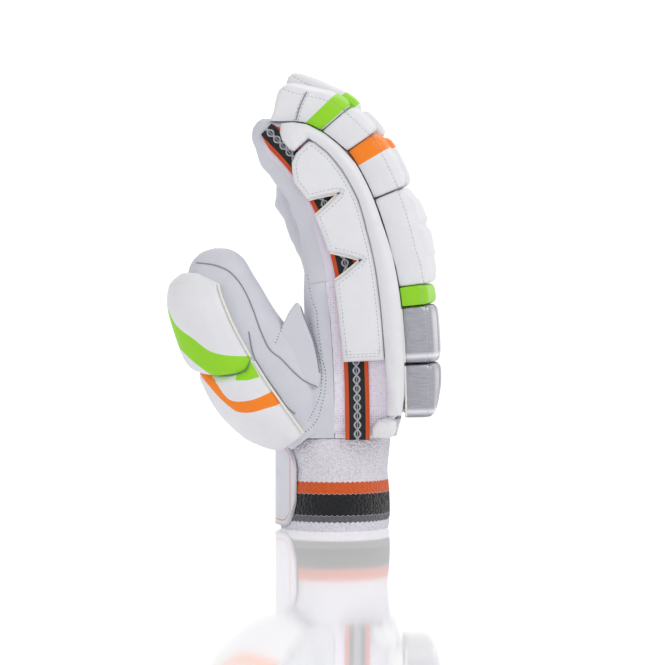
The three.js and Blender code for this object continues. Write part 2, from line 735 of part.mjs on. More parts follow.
function cuff() {
  const wallAt = (inset) => CUFF_PROFILE.map((row) => (
    cuffTurns.map((turn) => cuffPoint(turn, inset, row.girth, row.up * CUFF_HEIGHT))))
  return bodyBetween(wallAt(0), wallAt(CUFF_WALL), true)
}

// Ends of the strap round the cuff, in degrees from the back of the hand
const STRAP_NEAR_END = -133
const STRAP_FAR_END = -268
const STRAP_COLUMNS = 16
const STRAP_ROUNDING = 0.85 // how much of the strap's width its rounded near end takes off

const strapTop = (STRAP_LIFT + STRAP_WIDTH) / CUFF_HEIGHT
const strapGirth = Math.max(readTable(CUFF_PROFILE, 'up', 'girth', strapTop),
  ...CUFF_PROFILE.filter((row) => row.up < strapTop).map((row) => row.girth))

function strap() {
  const half = STRAP_WIDTH / 2
  const run = radians(STRAP_NEAR_END - STRAP_FAR_END) * (CUFF_DEPTH + CUFF_WIDTH) / 4
  const layer = (inset) => [-1, -0.6, 0, 0.6, 1].map((share) => (
    Array.from({ length: STRAP_COLUMNS + 1 }, (_, i) => {
      const t = i / STRAP_COLUMNS
      const shortfall = Math.max(1 - t * run / STRAP_CORNER, 0)
      const tall = half * Math.sqrt(1 - shortfall ** 2 * STRAP_ROUNDING)
      const turn = radians(lerp(STRAP_NEAR_END, STRAP_FAR_END, t))
      return cuffPoint(turn, inset, strapGirth, STRAP_LIFT + half + share * tall)
    })))
  return bodyBetween(layer(-GAP - STRAP_THICKNESS), layer(-GAP))
}

// Lean of the thumb's centre line toward the palm: along as a share of THUMB_LENGTH, lean in degrees
const THUMB_LEAN = [
  { along: 0.0, lean: 38 },
  { along: 0.3, lean: 30 },
  { along: 0.6, lean: 21 },
  { along: 0.85, lean: 13 },
  { along: 1.0, lean: 8 },
]

// A place on the thumb: share of its length, across from its centre line toward the hand, y off its middle
function thumbPlace(share, across, y) {
  const steps = 60
  let x = THUMB_ROOT_X
  let z = THUMB_ROOT_Z
  const reach = share * THUMB_LENGTH
  const leanAt = (s) => radians(readTable(THUMB_LEAN, 'along', 'lean', s))
  for (let i = 0; i < steps; i++) {
    const lean = leanAt(share * i / steps)
    x -= Math.sin(lean) * reach / steps
    z += Math.cos(lean) * reach / steps
  }
  const lean = leanAt(share)
  const middle = THUMB_ROOT_ACROSS - THUMB_SPLAY * share
  return new THREE.Vector3(x + across * Math.cos(lean), middle + y, z + across * Math.sin(lean))
}

// Sections of the thumb: edges as shares of THUMB_WIDTH, thick as a share of THUMB_THICKNESS
const THUMB_PROFILE = [
  { along: -0.08, left: -0.16, right: 0.4, thick: 0.7 },
  { along: 0.02, left: -0.26, right: 0.56, thick: 0.82 },
  { along: 0.1, left: -0.35, right: 0.68, thick: 0.92 },
  { along: 0.22, left: -0.42, right: 0.75, thick: 0.98 },
  { along: 0.35, left: -0.46, right: 0.76, thick: 1.0 },
  { along: 0.5, left: -0.48, right: 0.7, thick: 1.0 },
  { along: 0.65, left: -0.48, right: 0.61, thick: 0.97 },
  { along: 0.8, left: -0.48, right: 0.53, thick: 0.91 },
  { along: 0.9, left: -0.44, right: 0.455, thick: 0.8 },
  { along: 0.98, left: -0.37, right: 0.375, thick: 0.66 },
  { along: 1.045, left: -0.26, right: 0.22, thick: 0.38 },
]

function thumbEdge(row, turn, grow) {
  const middle = (row.left + row.right) / 2 * THUMB_WIDTH
  const half = (row.right - row.left) / 2 * THUMB_WIDTH + grow
  const thick = row.thick * THUMB_THICKNESS / 2 + grow
  const swell = (value) => Math.sign(value) * Math.abs(value) ** 0.85
  return [middle + half * swell(Math.cos(turn)), -thick * swell(Math.sin(turn))]
}

const THUMB_SIDES = 20
const THUMB_TIP = 1.07 // the tip, and the end of the hollow, as shares of THUMB_LENGTH
const THUMB_HOLLOW_END = 1.025

function thumbRings(grow, rows) {
  return rows.map((row) => Array.from({ length: THUMB_SIDES }, (_, i) => {
    const [across, y] = thumbEdge(row, radians(360 * i / THUMB_SIDES), grow)
    return thumbPlace(row.along, across, y)
  }))
}

function thumbShell() {
  const outer = thumbRings(0, THUMB_PROFILE)
  const tip = thumbPlace(THUMB_TIP, 0, 0)
  outer.push(outer[0].map(() => tip))
  const inner = thumbRings(-LEATHER, THUMB_PROFILE.slice(0, -1))
  const end = thumbPlace(THUMB_HOLLOW_END, 0, 0)
  while (inner.length < outer.length) inner.push(outer[0].map(() => end))
  return bodyBetween(outer, inner, true)
}

const thumbBlock = (grow) => fillRings(thumbRings(grow, THUMB_PROFILE))

// Thumb guards wrap the thumb from its piping on the face, round the outer edge, to the hidden side
const GUARD_TURNS = [78, 84, 94, 110, 130, 155, 180, 205, 230, 255, 272]

const rowAt = (along) => ({
  left: readTable(THUMB_PROFILE, 'along', 'left', along),
  right: readTable(THUMB_PROFILE, 'along', 'right', along),
  thick: readTable(THUMB_PROFILE, 'along', 'thick', along),
})

// Guard edges by turn round the thumb: top and step as shares of THUMB_LENGTH
const GUARD_START = -0.05
const GUARD_EDGES = [
  { turn: 78, top: 0.9, step: 0.45 },
  { turn: 94, top: 0.92, step: 0.41 },
  { turn: 130, top: 0.955, step: 0.43 },
  { turn: 180, top: 0.965, step: 0.52 },
  { turn: 230, top: 0.95, step: 0.56 },
  { turn: 272, top: 0.92, step: 0.56 },
]

const GUARD_ROUNDING = 22 // degrees of turn over which a guard thins toward its piping
const GUARD_EDGE = 0.45 // thickness at the piping, as a share of the guard's own

function guard(startAt, endAt, thickness, shares) {
  const layer = (growAt) => shares.map(({ share, swell }) => GUARD_TURNS.map((turn) => {
    const along = lerp(startAt(turn), endAt(turn), share)
    const [across, y] = thumbEdge(rowAt(along), radians(turn), growAt(turn, swell))
    return thumbPlace(along, across, y)
  }))
  const outside = (turn, swell) => {
    const fromEdge = Math.min(turn - GUARD_TURNS[0], GUARD_TURNS[GUARD_TURNS.length - 1] - turn)
    const side = lerp(GUARD_EDGE, 1, Math.min(fromEdge / GUARD_ROUNDING, 1) ** 0.6)
    const face = lerp(GUARD_FACE, 1, Math.abs(Math.cos(radians(turn))) ** 1.5)
    return GAP + thickness * face * side * swell
  }
  return bodyBetween(layer(outside), layer(() => -LEATHER / 2))
}

const edgeAt = (column) => (turn) => readTable(GUARD_EDGES, 'turn', column, turn)
const UPPER_SWELL = [
  { share: 0, swell: 0.62 },
  { share: 0.06, swell: 0.95 },
  { share: 0.2, swell: 1.04 },
  { share: 0.5, swell: 1.02 },
  { share: 0.75, swell: 1.0 },
  { share: 0.9, swell: 0.86 },
  { share: 1, swell: 0.4 },
]
const LOWER_SWELL = [
  { share: 0, swell: 0.35 },
  { share: 0.1, swell: 0.66 },
  { share: 0.3, swell: 0.88 },
  { share: 0.6, swell: 0.96 },
  { share: 0.92, swell: 0.84 },
  { share: 1, swell: 0.5 },
]

// Leather web between thumb and palm: its outline in the side plane, as shares of the thumb's own sizes
const WEB_OUTLINE = [
  { along: 0.562, across: 0.676 },
  { along: 0.444, across: 0.364 },
  { along: 0.372, across: 0.352 },
  { along: 0.224, across: 0.494 },
  { along: 0.114, across: 0.642 },
  { along: 0.214, across: 0.824 },
  { along: 0.444, across: 0.943 },
  { along: 0.636, across: 0.949 },
  { along: 0.618, across: 0.813 },
]

function web() {
  const flat = WEB_OUTLINE.map(({ along, across }) => {
    const point = thumbPlace(along, across * THUMB_WIDTH, 0)
    return new THREE.Vector2(point.x, point.z)
  })
  const shape = new THREE.Shape(flat)
  const geometry = new THREE.ExtrudeGeometry(shape, { depth: WEB_THICKNESS, bevelEnabled: false, steps: 1 })
  geometry.rotateX(Math.PI / 2)
  geometry.translate(0, -halfWidth - GAP, 0)
  geometry.deleteAttribute('normal')
  geometry.deleteAttribute('uv')
  return cut(facingOut(mergeVertices(geometry, 1e-4)), [thumbBlock(GAP)])
}

// A small folded tab at the near end of the wrist roll: its outline as shares of its length and width
const TAB_OUTLINE = [
  { along: 0.08, out: 0.0 },
  { along: 0.02, out: 0.41 },
  { along: 0.08, out: 0.82 },
  { along: 0.48, out: 1.0 },
  { along: 0.87, out: 0.96 },
  { along: 1.0, out: 0.68 },
  { along: 0.87, out: 0.21 },
  { along: 0.48, out: 0.0 },
]

function wristTab() {
  const outline = TAB_OUTLINE.map(({ along, out }) => [along * TAB_LENGTH, TAB_OUT + out * TAB_WIDTH])
  return sidePlate(spines.index, outline, -1, GAP, TAB_THICKNESS, TAB_BEVEL)
}

// The cuff and strap as one block, grown by a clearance, to trim the thumb that stands beside them
function cuffBlock(clearance) {
  const inset = -STRAP_THICKNESS - GAP - clearance
  const girth = Math.max(...CUFF_PROFILE.map((row) => row.girth))
  const levels = [-clearance, CUFF_HEIGHT + clearance]
  return fillRings(levels.map((z) => cuffTurns.map((turn) => cuffPoint(turn, inset, girth, z))))
}

const handTool = handBlock(GAP)
const cuffTool = cuffBlock(GAP)

addPiece('knit_cuff', cuff(), 'knit')
addPiece('wrist_strap', strap(), 'whiteLeather')
addPiece('palm_leather', cut(palmLeather, [thumbBlock(-LEATHER)]), 'palmLeather')
addPiece('back_panel', backPanel, 'whiteLeather')
addPiece('index_gusset', gusset(-1), 'mesh')
addPiece('little_gusset', gusset(1), 'mesh')

for (const finger of FINGERS) {
  addPiece(`${finger.name}_stall`, stall(finger), 'palmLeather')
  for (const row of BLOCK_ROWS) {
    addPiece(`${finger.name}_${row.name}_block`, blockPillow(finger, row), 'silver')
  }
  for (const pad of finger.pads) {
    addPiece(`${finger.name}_${pad}_pad`, fingerPillow(finger, FINGER_PADS[pad]), 'whiteLeather')
  }
}

addPiece('knuckle_pad', knucklePad(), 'whiteLeather')
addPiece('knuckle_band', widePillow(KNUCKLE_BAND, PAD_SPLIT / 2, rowLines(KNUCKLE_BAND)), 'green')
addPiece('wrist_roll', widePillow(WRIST_ROLL, WRIST_ROLL_INSET, rowLines(WRIST_ROLL)), 'whiteLeather')
addPiece('wrist_tab', wristTab(), 'whiteLeather')

const barSeat = GAP * 2 + TAPE_THICKNESS
const flanks = [
  { finger: index, sign: -1, middleEdge: NOTCHED_EDGE },
  { finger: little, sign: 1, middleEdge: PLAIN_EDGE },
]
for (const { finger, sign, middleEdge } of flanks) {
  const spine = spines[finger.name]
  const reach = HAND_LENGTH * finger.length
  const tape = sidePlate(spine, tapeOutline(reach), sign, GAP, TAPE_THICKNESS, 0)
  const bar = sidePlate(spine, barOutline(reach, middleEdge), sign, barSeat, BAR_THICKNESS, BAR_BEVEL)
  const roll = sidePlate(spine, rollOutline(reach), sign, barSeat, ROLL_THICKNESS, ROLL_BEVEL)
  addPiece(`${finger.name}_tape`, tape, 'tape')
  addPiece(`${finger.name}_side_bar`, bar, 'whiteLeather')
  addPiece(`${finger.name}_side_roll`, roll, 'whiteLeather')
}

addPiece('thumb_leather', cut(thumbShell(), [handTool, cuffTool]), 'palmLeather')
addPiece('thumb_web', web(), 'palmLeather')
const upperGuard = guard(edgeAt('step'), edgeAt('top'), GUARD_THICKNESS, UPPER_SWELL)
const lowerEnd = (turn) => edgeAt('step')(turn) - GUARD_SPLIT / THUMB_LENGTH
const lowerGuard = guard(() => GUARD_START, lowerEnd, LOWER_GUARD_THICKNESS, LOWER_SWELL)
const underGuard = thumbBlock(GAP)
addPiece('thumb_guard_upper', cut(upperGuard, [underGuard, handTool]), 'whiteLeather')
addPiece('thumb_guard_lower', cut(lowerGuard, [underGuard, handTool, cuffTool]), 'whiteLeather')

// The origin is the middle of the glove's bounding box, on the surface that it stands on
const bounds = new THREE.Box3().setFromObject(group)
const centre = bounds.getCenter(new THREE.Vector3())
glove.position.set(-centre.x, -centre.y, -bounds.min.z)

export default group
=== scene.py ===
# %% [markdown]
# # A cricket batting glove, dressed in Blender
#
# The glove stands on its knitted cuff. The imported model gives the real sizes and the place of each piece,
# and this file gives them their finish: stuffed leather pillows, stitched panels, woven tape and terry
# knit. Each length below is a real one, written in millimetres and turned to metres where a mesh is made.

# %% Load the frame
import math

import bmesh
import bpy
import numpy as np
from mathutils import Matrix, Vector
from mathutils.bvhtree import BVHTree
from mathutils.geometry import delaunay_2d_cdt


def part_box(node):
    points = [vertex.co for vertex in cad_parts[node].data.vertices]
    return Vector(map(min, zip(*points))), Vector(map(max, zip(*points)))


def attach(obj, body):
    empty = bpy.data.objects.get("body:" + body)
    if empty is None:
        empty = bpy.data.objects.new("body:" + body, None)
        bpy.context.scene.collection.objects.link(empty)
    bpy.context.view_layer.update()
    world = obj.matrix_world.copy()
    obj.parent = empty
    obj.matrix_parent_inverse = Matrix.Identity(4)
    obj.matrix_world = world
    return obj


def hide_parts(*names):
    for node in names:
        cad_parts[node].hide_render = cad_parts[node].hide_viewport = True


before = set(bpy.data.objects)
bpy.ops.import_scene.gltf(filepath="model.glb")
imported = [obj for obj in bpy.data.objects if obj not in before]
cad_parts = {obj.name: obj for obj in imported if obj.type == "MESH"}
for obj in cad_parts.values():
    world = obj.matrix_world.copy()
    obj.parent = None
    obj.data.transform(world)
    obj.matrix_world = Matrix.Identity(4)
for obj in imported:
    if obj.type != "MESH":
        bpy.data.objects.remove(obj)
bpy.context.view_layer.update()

# %% [markdown]
# ## The glove's own coordinates
#
# A glove is sewn flat and then bent over a hand, so each piece here is drawn flat as well. A place is
# (along, across, out): along the bent centre line from the wrist seam, across from the index finger's
# side to the little finger's side, and out from the palm to the padded back. One function bends it. The
# same numbers stay on each mesh as an attribute, so a stripe or a seam can be painted where it was sewn.

# %% Driving sizes, in millimetres
HAND_LENGTH, HAND_WIDTH, KNUCKLE_LINE = 208.0, 97.0, 96.0
PALM_DEPTH, BACK_DEPTH, BACK_ARCH, ARCH_START = 50.0, 25.0, 6.0, 30.0
FINGER_CURL, CURL_SPREAD, SPINE_SETBACK, SIDE_SEAM = 47.0, 44.0, 17.9, 16.5
CUFF_HEIGHT, CUFF_WIDTH, CUFF_DEPTH, CUFF_WALL, CUFF_SHIFT = 55.5, 90.0, 66.5, 3.4, 1.6
PAD_HEIGHT, PAD_GAP, PAD_SPLIT, GAP = 21.0, 0.6, 0.2, 0.35
KNUCKLE_PAD_END = 0.645 * HAND_LENGTH
HALF = HAND_WIDTH / 2
LANE = HAND_WIDTH / 4

SPINE = np.array([
    # along, lean
    (0.0, 0.0), (0.17, 0.04), (0.25, 0.066), (0.33, 0.106), (0.42, 0.168), (0.5, 0.26),
    (0.58, 0.38), (0.67, 0.523), (0.75, 0.683), (0.83, 0.838), (0.92, 0.955), (1.0, 1.0),
])
FINGERS = {
    "index": dict(lane=0, length=1.0, curl=0.0, drop=0.0, bulk=1.0, crown=1.15, overhang=0.4),
    "middle": dict(lane=1, length=0.985, curl=-3.0, drop=0.0, bulk=1.07, crown=1.34, overhang=0.75),
    "ring": dict(lane=2, length=0.97, curl=2.0, drop=0.06, bulk=1.04, crown=1.25, overhang=0.4),
    "little": dict(lane=3, length=0.85, curl=1.5, drop=0.42, bulk=1.0, crown=1.1, overhang=0.25),
}


def smoothstep(value, low, high):
    """0 below low, 1 above high, and a smooth rise between."""
    t = np.clip((value - low) / (high - low), 0, 1)
    return t * t * (3 - 2 * t)


def column(table, at, index):
    """Reads column index of a table at places along its first column, as a curve that never overshoots."""
    x, y = table[:, 0], table[:, index]
    step = np.diff(x)
    slope = np.diff(y) / step
    tangent = np.concatenate([slope[:1], np.zeros(len(x) - 2), slope[-1:]])
    same = slope[:-1] * slope[1:] > 0
    mean = 2 * slope[:-1] * slope[1:] / np.where(same, slope[:-1] + slope[1:], 1)
    tangent[1:-1] = np.where(same, mean, 0)
    at = np.clip(at, x[0], x[-1])
    i = np.clip(np.searchsorted(x, at, side="right") - 1, 0, len(step) - 1)
    t = (at - x[i]) / step[i]
    ends = (1 + 2 * t) * (1 - t) ** 2 * y[i] + t * t * (3 - 2 * t) * y[i + 1]
    return ends + step[i] * t * (1 - t) * ((1 - t) * tangent[i] - t * tangent[i + 1])


low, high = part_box("knit_cuff")
SHIFT = np.array([(low.x + high.x) * 500 - CUFF_SHIFT, (low.y + high.y) * 500, 0.0])
print("working frame starts at", SHIFT.round(3))


# %% The bent centre line of each finger
def make_spine(finger):
    """Rows of along, x, z and lean: the line is walked in short steps that lean as the table says."""
    steps = 260
    step = HAND_LENGTH * 1.1 / steps
    along = np.arange(steps + 1) * step
    lean = column(SPINE, along / HAND_LENGTH, 1) * FINGER_CURL
    curled = finger["curl"] * smoothstep(along, KNUCKLE_PAD_END, KNUCKLE_PAD_END + CURL_SPREAD)
    lean = np.radians(lean + curled)
    x = SPINE_SETBACK - np.concatenate([[0], np.cumsum(np.sin(lean[:-1]) * step)])
    z = CUFF_HEIGHT + GAP + np.concatenate([[0], np.cumsum(np.cos(lean[:-1]) * step)])
    sunk = finger["drop"] * PAD_HEIGHT * smoothstep(along, KNUCKLE_LINE, KNUCKLE_LINE + CURL_SPREAD)
    return np.stack([along, x - sunk * np.cos(lean), z - sunk * np.sin(lean), lean], axis=1)


spines = {name: make_spine(finger) for name, finger in FINGERS.items()}
ends = {name: round(float(spine[-1, 2])) for name, spine in spines.items()}
print("the centre lines end this many mm up:", ends)


def arch(along, across):
    """How far the back of the hand rises in the middle, growing from the wrist."""
    share = np.minimum(np.abs(across) / HALF, 1)
    height = BACK_ARCH * np.clip(along / ARCH_START, 0, 1)
    return height * np.where(share < 0.5, 1 - 0.5 * share, 1.5 - 1.5 * share)


def bend(finger, flat):
    """Places flat points (along, across, out) in the glove, in millimetres."""
    along, across, out = np.moveaxis(np.asarray(flat, float), -1, 0)
    spine = spines[finger]
    x = np.interp(along, spine[:, 0], spine[:, 1])
    z = np.interp(along, spine[:, 0], spine[:, 2]) + np.minimum(along, 0)
    lean = np.interp(along, spine[:, 0], spine[:, 3])
    lift = out + arch(along, across)
    return np.stack([x + lift * np.cos(lean), across, z + lift * np.sin(lean)], axis=-1) + SHIFT


# %% [markdown]
# ## Meshes and small helpers
#
# A mesh comes from points and faces in millimetres. Its flat coordinates go with it, in metres, as the
# attribute sewn, which the materials read. Faces are turned outwards once, when the piece is whole.

# %% Mesh helpers
MM = 0.001
SHARP_ANGLE = math.radians(50)
MERGE_DISTANCE = 2e-6
made = {}


def turn_out(mesh, merge=True):
    """Recalculates the normals so that faces point outwards."""
    work = bmesh.new()
    work.from_mesh(mesh)
    if merge:
        bmesh.ops.remove_doubles(work, verts=work.verts, dist=MERGE_DISTANCE)
    bmesh.ops.recalc_face_normals(work, faces=work.faces)
    work.to_mesh(mesh)
    work.free()


def add_piece(name, points, faces, sewn=None, extra=None):
    """A piece from points in millimetres, with its sewn coordinates and extra values kept on its points."""
    mesh = bpy.data.meshes.new(name)
    mesh.from_pydata((np.asarray(points) * MM).tolist(), [], [tuple(int(v) for v in f) for f in faces])
    if sewn is not None:
        attribute = mesh.attributes.new("sewn", "FLOAT_VECTOR", "POINT")
        attribute.data.foreach_set("vector", (np.asarray(sewn) * MM).astype(np.float32).ravel())
    for key, values in (extra or {}).items():
        attribute = mesh.attributes.new(key, "FLOAT", "POINT")
        attribute.data.foreach_set("value", np.asarray(values, np.float32).ravel())
    mesh.update()
    turn_out(mesh)
    mesh.shade_smooth()
    mesh.set_sharp_from_angle(angle=SHARP_ANGLE)
    piece = bpy.data.objects.new(name, mesh)
    bpy.context.scene.collection.objects.link(piece)
    made[name] = piece
    return piece


def dress(piece, look, replaces=()):
    """Gives a piece its material, says what it rides on and hides the parts it replaces."""
    piece.data.materials.append(look)
    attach(piece, "root")
    if replaces:
        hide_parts(*replaces)
    return piece


def grid_faces(rows, columns, wraps=False, start=0):
    """Four-sided faces over a grid of points that starts at that number. A grid that wraps is a tube."""
    faces = []
    for i in range(rows - 1):
        for j in range(columns if wraps else columns - 1):
            k = (j + 1) % columns
            a, b = start + i * columns, start + (i + 1) * columns
            faces.append((a + j, a + k, b + k, b + j))
    return faces


def wobble(points, size, seed=0.0):
    """Smooth wavy noise from a few sines, about -1 to 1, with waves of that size in millimetres."""
    p = np.asarray(points) / size * 2 * math.pi
    x, y, z = p[..., 0], p[..., 1], p[..., 2]
    total = np.sin(x * 0.9 + y * 0.5 + 1.3 * seed) + np.sin(y * 1.1 - z * 0.6 + 2.1 * seed)
    total += np.sin(z * 0.8 + x * 0.7 + 0.7 * seed) + np.sin((x + y + z) * 0.55 + 3.7 * seed)
    return total / 4


print("mesh helpers ready; a piece's edges stay sharp above", round(math.degrees(SHARP_ANGLE)), "degrees")

# %% [markdown]
# ## Materials
#
# Everything sewn here is leather or its coated cloth cousin, with a fine pebbled grain, a satin gloss and
# soft creases. Colours are written as the hex values that a picker would show, and one function turns
# them linear. A stripe is not a separate texture: it is a test on the sewn coordinates, so it stays sharp
# at any distance.

# %% Colours and the node helper
FAR = 999.0


def linear(hex_colour):
    """A hex colour as linear red, green, blue and alpha."""
    parts = [int(hex_colour[i:i + 2], 16) / 255 for i in (1, 3, 5)]
    return (*[p / 12.92 if p <= 0.04045 else ((p + 0.055) / 1.055) ** 2.4 for p in parts], 1.0)


def add_node(tree, kind, *values, out=0, settings=None, **sockets):
    """Adds one node and gives its output out. A kind may end in an operation, as "ShaderNodeMath SINE".

    Values fill the inputs in their order, and sockets name others, by name or number (as _6). Each is a
    value or another node's output.
    """
    kind, _, operation = kind.partition(" ")
    node = tree.nodes.new(kind)
    if operation:
        node.operation = operation
    for key, value in (settings or {}).items():
        setattr(node, key, value)
    for key, value in ({f"_{i}": value for i, value in enumerate(values)} | sockets).items():
        socket = node.inputs[int(key[1:]) if key[1:].isdigit() else key.replace("_", " ")]
        if isinstance(value, bpy.types.NodeSocket):
            tree.links.new(value, socket)
        else:
            socket.default_value = value
    return node.outputs[out]


def new_material(name):
    """A new material, its node tree and its Principled shader."""
    material = bpy.data.materials.new(name)
    material.use_nodes = True
    return material, material.node_tree, material.node_tree.nodes["Principled BSDF"]


def sewn_axes(tree):
    """Sockets that give along, across and out in millimetres."""
    sewn = add_node(tree, "ShaderNodeAttribute", out="Vector", settings={"attribute_name": "sewn"})
    scaled = add_node(tree, "ShaderNodeVectorMath SCALE", sewn, Scale=1 / MM)
    return add_node(tree, "ShaderNodeSeparateXYZ", scaled).node.outputs


def between(tree, value, low, high, soft=0.12):
    """1 where value lies between low and high, fading in over soft millimetres inside each."""
    up = add_node(tree, "ShaderNodeMath SUBTRACT", value, low)
    down = add_node(tree, "ShaderNodeMath SUBTRACT", high, value)
    least = add_node(tree, "ShaderNodeMath MINIMUM", up, down)
    return add_node(tree, "ShaderNodeClamp", add_node(tree, "ShaderNodeMath DIVIDE", least, soft))


def layered(tree, base, layers):
    """Lays hex colours over a base, one after the other, each where its mask is 1."""
    for mask, colour in layers:
        base = add_node(tree, "ShaderNodeMix", mask, out=2, settings={"data_type": "RGBA"}, _6=base,
                        _7=linear(colour))
    return base


print("white leather in linear colour:", [round(v, 3) for v in linear("#ECECEF")])

# %% [markdown]
# Coated leather for pads: a smooth polyurethane skin on a cloth backing. Its coat gives broad, soft
# highlights (roughness about 0.45), its grain is a pebble of about a millimetre, drawn a little coarser
# than life so it shows, and pressed creases some 12 mm apart make the skin look stretched over foam.

# %% Leather
def leather(name, colour, roughness=0.45, grain_mm=1.6, grain=0.10, crease_mm=13.0, crease=0.55,
            stripes=None, metallic=0.0, shade="#C9CBD8"):
    """Pebbled grain and soft creases of those sizes on one skin, with painted shade of the shade colour
    along the creases; stripes paints over its base colour.
    """
    material, tree, shader = new_material(name)
    place = add_node(tree, "ShaderNodeTexCoord", out="Object")
    pebble = add_node(tree, "ShaderNodeTexVoronoi", out="Distance", settings={"feature": "F1"}, Vector=place,
                      Scale=1000 / grain_mm, Randomness=0.9)
    fold = add_node(tree, "ShaderNodeTexNoise", Vector=place, Scale=1000 / crease_mm, Detail=4.0,
                    Roughness=0.55, Distortion=0.6)
    # Painted shade: the colour runs towards the shade colour along the crease noise.
    crease_shade = add_node(tree, "ShaderNodeMapRange", fold, 0.3, 0.75, 0.0, 0.16)
    base = layered(tree, linear(colour), [(crease_shade, shade)])
    if stripes:
        base = stripes(tree, base)
    tree.links.new(base, shader.inputs["Base Color"])
    creased = add_node(tree, "ShaderNodeBump", Strength=crease, Distance=0.0012, Height=fold)
    grained = add_node(tree, "ShaderNodeBump", Strength=grain, Distance=0.0003, Height=pebble,
                       Normal=creased)
    tree.links.new(grained, shader.inputs["Normal"])
    rough = add_node(tree, "ShaderNodeMapRange", fold, 0.3, 0.7, roughness - 0.05, roughness + 0.08)
    tree.links.new(rough, shader.inputs["Roughness"])
    shader.inputs["Metallic"].default_value = metallic
    shader.inputs["IOR"].default_value = 1.5
    return material


print("leather helper ready")

# %% Stripes, mesh and foil on the leather
GREEN, ORANGE, BLACK, WHITE = "#96DC14", "#FF8600", "#141619", "#ECECEF"
TIP_STRIPE, LOW_STRIPE = (178.6, 187.2), (152.6, 161.4)
MESH_ACROSS, MESH_OUT = 47.4, -15.2
BLOCK_PITCH, BLOCK_HIGHLIGHT, BLOCK_FACE = 31.8, 15.5, 43.0


def band_on(low, high, colour):
    """A coloured strip square to the finger, from low to high in millimetres along it."""
    return lambda tree, base: layered(tree, base, [(between(tree, sewn_axes(tree)[0], low, high), colour)])


def mesh_side(tree, base):
    """The strip of lavender mesh between the tape and the palm leather, on the outer side of a finger."""
    _, across, out = sewn_axes(tree)
    on_side = between(tree, add_node(tree, "ShaderNodeMath ABSOLUTE", across), MESH_ACROSS, FAR, 0.3)
    above_palm = between(tree, out, MESH_OUT, FAR, 0.3)
    strip = add_node(tree, "ShaderNodeMath MULTIPLY", on_side, above_palm)
    return layered(tree, base, [(strip, "#E2DBEB")])


def foil(tree, base):
    """Brushed foil: fine streaks across the hand, a painted highlight along the lower edge of each pad, and
    painted light on the pale outer face.
    """
    along, across, out = sewn_axes(tree)
    drawn_out = [add_node(tree, "ShaderNodeMath MULTIPLY", axis, waves)
                 for axis, waves in ((along, 4.5), (across, 0.15), (out, 0.15))]
    place = add_node(tree, "ShaderNodeCombineXYZ", *drawn_out)
    streak = add_node(tree, "ShaderNodeTexNoise", Vector=place, Scale=1.0, Detail=3.0)
    spread = add_node(tree, "ShaderNodeMapRange", streak, 0.3, 0.7, 0.1, 0.55)
    # Painted highlight along each block's lower edge and painted light on its outer face; the streaks are
    # the foil's own grain.
    from_edge = add_node(tree, "ShaderNodeMath ADD", along, -BLOCK_HIGHLIGHT)
    turn = add_node(tree, "ShaderNodeMath PINGPONG", from_edge, BLOCK_PITCH / 2)
    painted_edge_highlight = between(tree, turn, -FAR, 2.2, 3.0)
    painted_face_light = between(tree, out, BLOCK_FACE, FAR, 1.5)
    return layered(tree, base, [(spread, "#6F6F78"), (painted_edge_highlight, "#F4F4F8"), (painted_face_light, "#E6E6EA")])


print("stripes in mm along a finger:", TIP_STRIPE, LOW_STRIPE)

# %% The leathers of the glove
# Sheepskin: tanned soft and left without a hard coat, so it is matt and creases finely
SHEEPSKIN = dict(roughness=0.62, grain_mm=1.1, crease_mm=18, crease=0.55, shade="#B4B6C4")
looks = {
    # Split leather under a rolled-on white coat: clean, satin, with broad highlights
    "white": leather("coated_leather_white", WHITE),
    # The same leather with a dyed strip pieced in, green near the tip and orange lower down
    "tip": leather("coated_leather_tip_stripe", WHITE, stripes=band_on(*TIP_STRIPE, GREEN)),
    "low": leather("coated_leather_low_stripe", WHITE, stripes=band_on(*LOW_STRIPE, ORANGE)),
    "palm": leather("sheepskin_palm", "#D6D7DF", **SHEEPSKIN),
    # A stall is sheepskin with knitted mesh let into its outer side
    "stall": leather("sheepskin_and_mesh_stall", "#D6D7DF", **SHEEPSKIN, stripes=mesh_side),
    # Leather faced with brushed metal foil under a thin film: a soft metal gloss with fine streaks and
    # painted highlights
    "silver": leather("silver_foil_leather", "#B4B4BC", roughness=0.33, metallic=0.92, grain_mm=0.9,
                      grain=0.55, crease_mm=9.0, crease=0.45, shade="#85858F", stripes=foil),
    # Leather with a bright dyed coat, a little glossier than the white
    "green": leather("green_foil_leather", GREEN, roughness=0.4, shade="#7FC40C"),
}
print("leathers:", sorted(m.name for m in looks.values()))

# %% [markdown]
# ## Stuffed pads
#
# A finger pad is a leather box sewn round foam: side walls, a seam, and a domed cover over it. The mesh
# starts as that box, a little slack. A cloth simulation then blows it up from inside while its seams stay
# put, so the leather pulls tight between the stitches as on the real glove. A cap says how far a point
# may move.

# %% The shape of one pad
HAND_PROFILE = np.array([
    # along, palm, back, width
    (0.0, 1.02, 0.68, 0.94), (0.055, 0.98, 0.76, 0.99), (0.08, 0.965, 1.0, 1.0), (0.15, 0.9, 1.02, 1.0),
    (0.24, 0.8, 1.05, 1.0), (0.34, 0.71, 1.06, 1.0), (0.4615, 0.635, 1.04, 1.0),
])
STALL_PROFILE = np.array([
    # reach, palm, back, width
    (0.0, 0.625, 1.04, 1.0), (0.12, 0.575, 0.98, 1.0), (0.25, 0.535, 0.96, 1.0), (0.4, 0.49, 1.0, 1.0),
    (0.54, 0.46, 1.0, 1.0), (0.64, 0.45, 0.9, 1.0), (0.74, 0.445, 0.77, 1.0), (0.81, 0.435, 0.63, 1.0),
    (0.87, 0.38, 0.4, 0.98), (0.92, 0.33, 0.17, 0.9), (0.965, 0.26, 0.0, 0.72), (0.99, 0.18, -0.1, 0.42),
])
